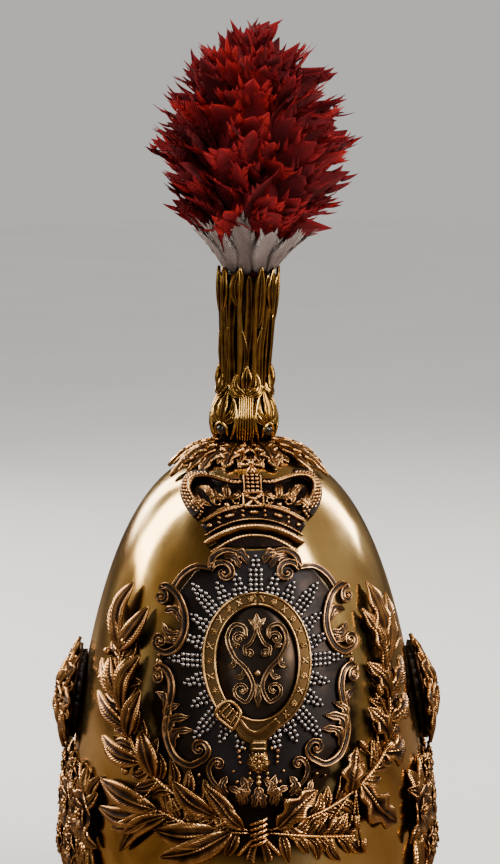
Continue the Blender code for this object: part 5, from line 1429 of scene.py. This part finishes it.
def feathers(name, deep, middle, tip, pitch):
    """Feather down: dark at its root as painted shade and bright at its tip as a painted highlight, with fine
    slanting barbs and a soft sheen.
    """
    material, tree, shader = surface(name)
    uneven = mathematics(tree, "MULTIPLY_ADD", noise(tree, 130.0, 3.0), 0.5, -0.25)
    barbs = ridges(tree, pitch)
    split = mathematics(tree, "MULTIPLY", barbs, 0.14)
    value = mathematics(tree, "ADD", mathematics(tree, "ADD", attribute(tree, "tone"), uneven), split)
    tree.links.new(ramp(tree, value, (0.05, deep), (0.50, middle), (1.0, tip)), shader.inputs["Base Color"])
    shader.inputs["Roughness"].default_value = 0.75
    shader.inputs["Specular IOR Level"].default_value = 0.25
    shader.inputs["Sheen Weight"].default_value = 0.12
    shader.inputs["Sheen Roughness"].default_value = 0.4
    shader.inputs["Sheen Tint"].default_value = (*tip, 1.0)
    tree.links.new(bump(tree, barbs, 1.0, 0.0006), shader.inputs["Normal"])
    return material


CRIMSON = feathers("crimson_feather", (0.022, 0.001, 0.003), (0.23, 0.003, 0.009), (0.64, 0.014, 0.016),
                   0.0012)
WHITE = feathers("white_feather", (0.09, 0.055, 0.045), (0.33, 0.25, 0.22), (0.56, 0.47, 0.43), 0.0011)


def feather(shape, knots, face, width, bright, rng):
    """A cupped feather along a few points, swept to one side, with loose pointed barbs at its edges."""
    path = smooth(knots, 8 // (len(knots) - 1))
    shares = numpy.linspace(0.0, 1.0, len(path))
    side = unit(numpy.cross(path[-1] - path[0], face))
    path = path + side * (width * rng.uniform(-0.35, 0.35) * shares ** 2)[:, None]
    along = unit(numpy.gradient(path, axis=0))
    up = unit(numpy.cross(side, along))
    half = width / 2 * numpy.interp(shares, numpy.linspace(0.0, 1.0, len(FEATHER_WIDTHS)), FEATHER_WIDTHS)
    half *= [rng.uniform(0.92, 1.08) for _ in path]
    # The tone rises from root to tip: painted shade at the root, a painted highlight at the tip.
    strip(shape, path, half, half * 0.24, FEATHER, up=up, shade=bright * numpy.linspace(0.22, 1.0, len(path)))
    for number in range(BARBS):
        hand = 1 if number % 2 else -1
        station = rng.uniform(0.45, 0.90) * (len(path) - 1)
        place = int(station)
        spot = path[place] + (path[place + 1] - path[place]) * (station - place)
        start = spot + side * hand * half[place] * 0.72 - up[place] * width * 0.05
        sweep = along[place] * rng.uniform(0.75, 1.0) + side * hand * rng.uniform(0.05, 0.42)
        end = start + sweep * width * rng.uniform(0.25, 0.60)
        barb = smooth((start, (start + end) / 2 + up[place] * width * 0.03, end), 2)
        # The barbs carry the edges' painted highlight.
        strip(shape, barb, BARB_WIDTHS * width, BARB_WIDTHS * width * 0.3, BARB, up=up[place],
              shade=bright * rng.uniform(0.75, 1.0))


def round_axis(turn, radius, height):
    return numpy.array((radius * sin(turn), -radius * cos(turn), SOCKET_TOP + height))


def outward_at(turn):
    return numpy.array((sin(turn), -cos(turn), 0.0))


crimson = empty_shape()
rng = random.Random(31)
core = [(CORE_FOOT, 0.0), (CORE_FOOT, CORE_RADIUS), (0.0, CORE_RADIUS)]
core += [(up * CORE_HEIGHT, max(reach * CORE_SHARE, CORE_RADIUS)) for up, reach in PLUME_OUTLINE[1:-2]]
core.append((CORE_TOP * CORE_HEIGHT, 0.0))
part = empty_shape()
bmesh.ops.create_grid(part, x_segments=40, y_segments=len(core) - 1, size=0.5)
for vert in part.verts:
    height, radius = core[round((vert.co.y + 0.5) * (len(core) - 1))]
    vert.co = round_axis(2 * pi * (vert.co.x + 0.5), radius, height)
    # The stem's dark tone is painted shade inside the plume.
    vert[part.verts.layers.float["tone"]] = CORE_SHADE_TONE
bmesh.ops.remove_doubles(part, verts=part.verts, dist=MERGE)
gather(crimson, part)

for number, (height, climb, count) in enumerate(TIERS):
    for place in range(count):
        turn = 2 * pi * (place + 0.5 * (number % 2) + rng.uniform(-0.3, 0.3)) / count
        rise = radians(climb + rng.uniform(-8, 8))
        top = height + rng.uniform(-0.004, 0.004)
        reach = numpy.interp(top, *zip(*PLUME_OUTLINE)) * rng.uniform(0.90, 1.02)
        leftness = max(sin(turn), 0.0)
        reach *= 1.0 + max(1.0 - top / FULL_BELOW, 0.0) * (FULLNESS * leftness - SLIMNESS * (1.0 - leftness))
        length = FEATHER_LENGTH * rng.uniform(0.85, 1.15)
        root_height = max(top - length * sin(rise), -0.004)
        root_radius = min(max(reach - length * cos(rise), 0.15 * reach), 0.007 + 0.5 * max(root_height, 0.0))
        root = round_axis(turn + rng.uniform(-0.15, 0.15), root_radius, root_height)
        tip = round_axis(turn, reach, top)
        outward, sideways = outward_at(turn), outward_at(turn + pi / 2)
        roll = rng.uniform(-0.9, 0.9)
        over = outward * sin(rise) - UPRIGHT * cos(rise)
        face = unit(over * cos(roll) + sideways * sin(roll))
        arch = (UPRIGHT * cos(rise) - outward * sin(rise)) * length * rng.uniform(0.08, 0.30)
        knots = (root, root + (tip - root) * 0.55 + arch, tip)
        width, bright = FEATHER_WIDTH * rng.uniform(0.65, 1.15), rng.uniform(0.45, 1.10)
        feather(crimson, knots, face, width, bright, rng)
crimson.transform(SOCKET_SEAT)
piece("crimson_plume", crimson, CRIMSON, "red_feather", "plume_red")

# White feathers: turn, reach and height of the tip, and width
WHITE_FEATHERS = ((-1.25, 0.029, 0.017, 0.013), (-0.80, 0.029, 0.021, 0.014), (-0.20, 0.027, 0.0255, 0.015),
                  (0.42, 0.028, 0.018, 0.015), (0.95, 0.033, 0.018, 0.015), (1.55, 0.033, 0.017, 0.014),
                  (2.20, 0.029, 0.018, 0.014), (2.90, 0.027, 0.021, 0.014), (-2.65, 0.028, 0.018, 0.014),
                  (-1.95, 0.029, 0.020, 0.014))
white = empty_shape()
for turn, reach, height, width in WHITE_FEATHERS:
    root, tip = round_axis(turn, 0.0118, -0.0050), round_axis(turn, reach, height)
    face = unit(outward_at(turn) - 0.35 * UPRIGHT)
    feather(white, (root, (root + tip) / 2 + UPRIGHT * 0.002, tip), face, width, rng.uniform(0.7, 1.0), rng)
white.transform(SOCKET_SEAT)
piece("white_feathers", white, WHITE, "white_feather", "plume_white")


# Floor and light. A plain pale floor, which the metal mirrors darker, a broad soft light from the right and
# the front, narrow ones behind both edges, a box above and a weak light from the front left, as in a dim
# studio.
FLOOR_SIZE, FLOOR_MIRRORED = 14.0, (0.09, 0.062, 0.040)
floor_shape = bmesh.new()
bmesh.ops.create_grid(floor_shape, x_segments=2, y_segments=2, size=FLOOR_SIZE / 2)
floor_mesh = bpy.data.meshes.new("floor")
floor_shape.to_mesh(floor_mesh)
floor_shape.free()
floor = bpy.data.objects.new("floor", floor_mesh)
bpy.context.scene.collection.objects.link(floor)
floor_material, floor_tree, floor_shader = surface("pale_floor")
pale_floor = ramp(floor_tree, noise(floor_tree, 3.0), (0.3, (0.67, 0.66, 0.64)), (0.7, (0.70, 0.69, 0.67)))
floor_rays = floor_tree.nodes.new("ShaderNodeLightPath").outputs["Is Glossy Ray"]
floor_colour = mix(floor_tree, floor_rays, pale_floor, FLOOR_MIRRORED)
floor_tree.links.new(floor_colour, floor_shader.inputs["Base Color"])
floor_shader.inputs["Roughness"].default_value = 0.9
floor_shader.inputs["Specular IOR Level"].default_value = 0.1
floor_mesh.materials.append(floor_material)

# Lights: place, width, height, power and colour. All face the middle of the helmet.
AIM = Vector((0.0, 0.0, 0.22))
WARM, NEUTRAL = (1.0, 0.95, 0.88), (1.0, 1.0, 1.0)
LIGHTS = (
    ("right_window", (1.5, -0.95, 1.1), 0.60, 1.1, 36.0, WARM),
    ("right_edge", (1.1, 1.0, 1.0), 0.3, 1.0, 14.0, WARM),
    ("left_edge", (-1.2, 0.75, 1.05), 0.55, 1.1, 28.0, WARM),
    ("left_rim", (-0.75, 1.35, 0.95), 0.35, 1.2, 16.0, WARM),
    ("top_box", (0.3, -0.7, 1.9), 1.0, 0.7, 20.0, NEUTRAL),
    ("front_fill", (-0.9, -2.2, 1.1), 0.7, 0.7, 9.0, NEUTRAL),
)
for name, place, width, height, power, colour in LIGHTS:
    data = bpy.data.lights.new(name, "AREA")
    data.shape = "RECTANGLE"
    data.size, data.size_y = width, height
    data.energy = power
    data.color = colour
    light = bpy.data.objects.new(name, data)
    light.location = place
    light.rotation_euler = (Vector(place) - AIM).to_track_quat("Z", "Y").to_euler()
    bpy.context.scene.collection.objects.link(light)

# The room is pale, but the polished metal mirrors a darker and browner one, lightest at both sides
world = bpy.data.worlds.new("studio")
world.use_nodes = True
bpy.context.scene.world = world
room = world.node_tree
rays = room.nodes.new("ShaderNodeLightPath")
way = room.nodes.new("ShaderNodeTexCoord")
parts = room.nodes.new("ShaderNodeSeparateXYZ")
room.links.new(way.outputs["Generated"], parts.inputs["Vector"])
side = mathematics(room, "MULTIPLY_ADD", parts.outputs["X"], 0.35, 0.5)
toward = mathematics(room, "MULTIPLY_ADD", parts.outputs["Z"], 0.20, side)
mirrored_room = ramp(room, toward, (0.16, (0.50, 0.44, 0.33)), (0.32, (0.12, 0.085, 0.045)),
                     (0.50, (0.020, 0.015, 0.010)), (0.72, (0.16, 0.13, 0.09)), (0.92, (0.42, 0.36, 0.28)))
WALL, FILL = (0.55, 0.54, 0.52), (0.80, 0.79, 0.77)
seen = mix(room, rays.outputs["Is Camera Ray"], FILL, WALL)
lit = mix(room, rays.outputs["Is Glossy Ray"], seen, mirrored_room)
room.links.new(lit, room.nodes["Background"].inputs["Color"])
room.nodes["Background"].inputs["Strength"].default_value = 1.0
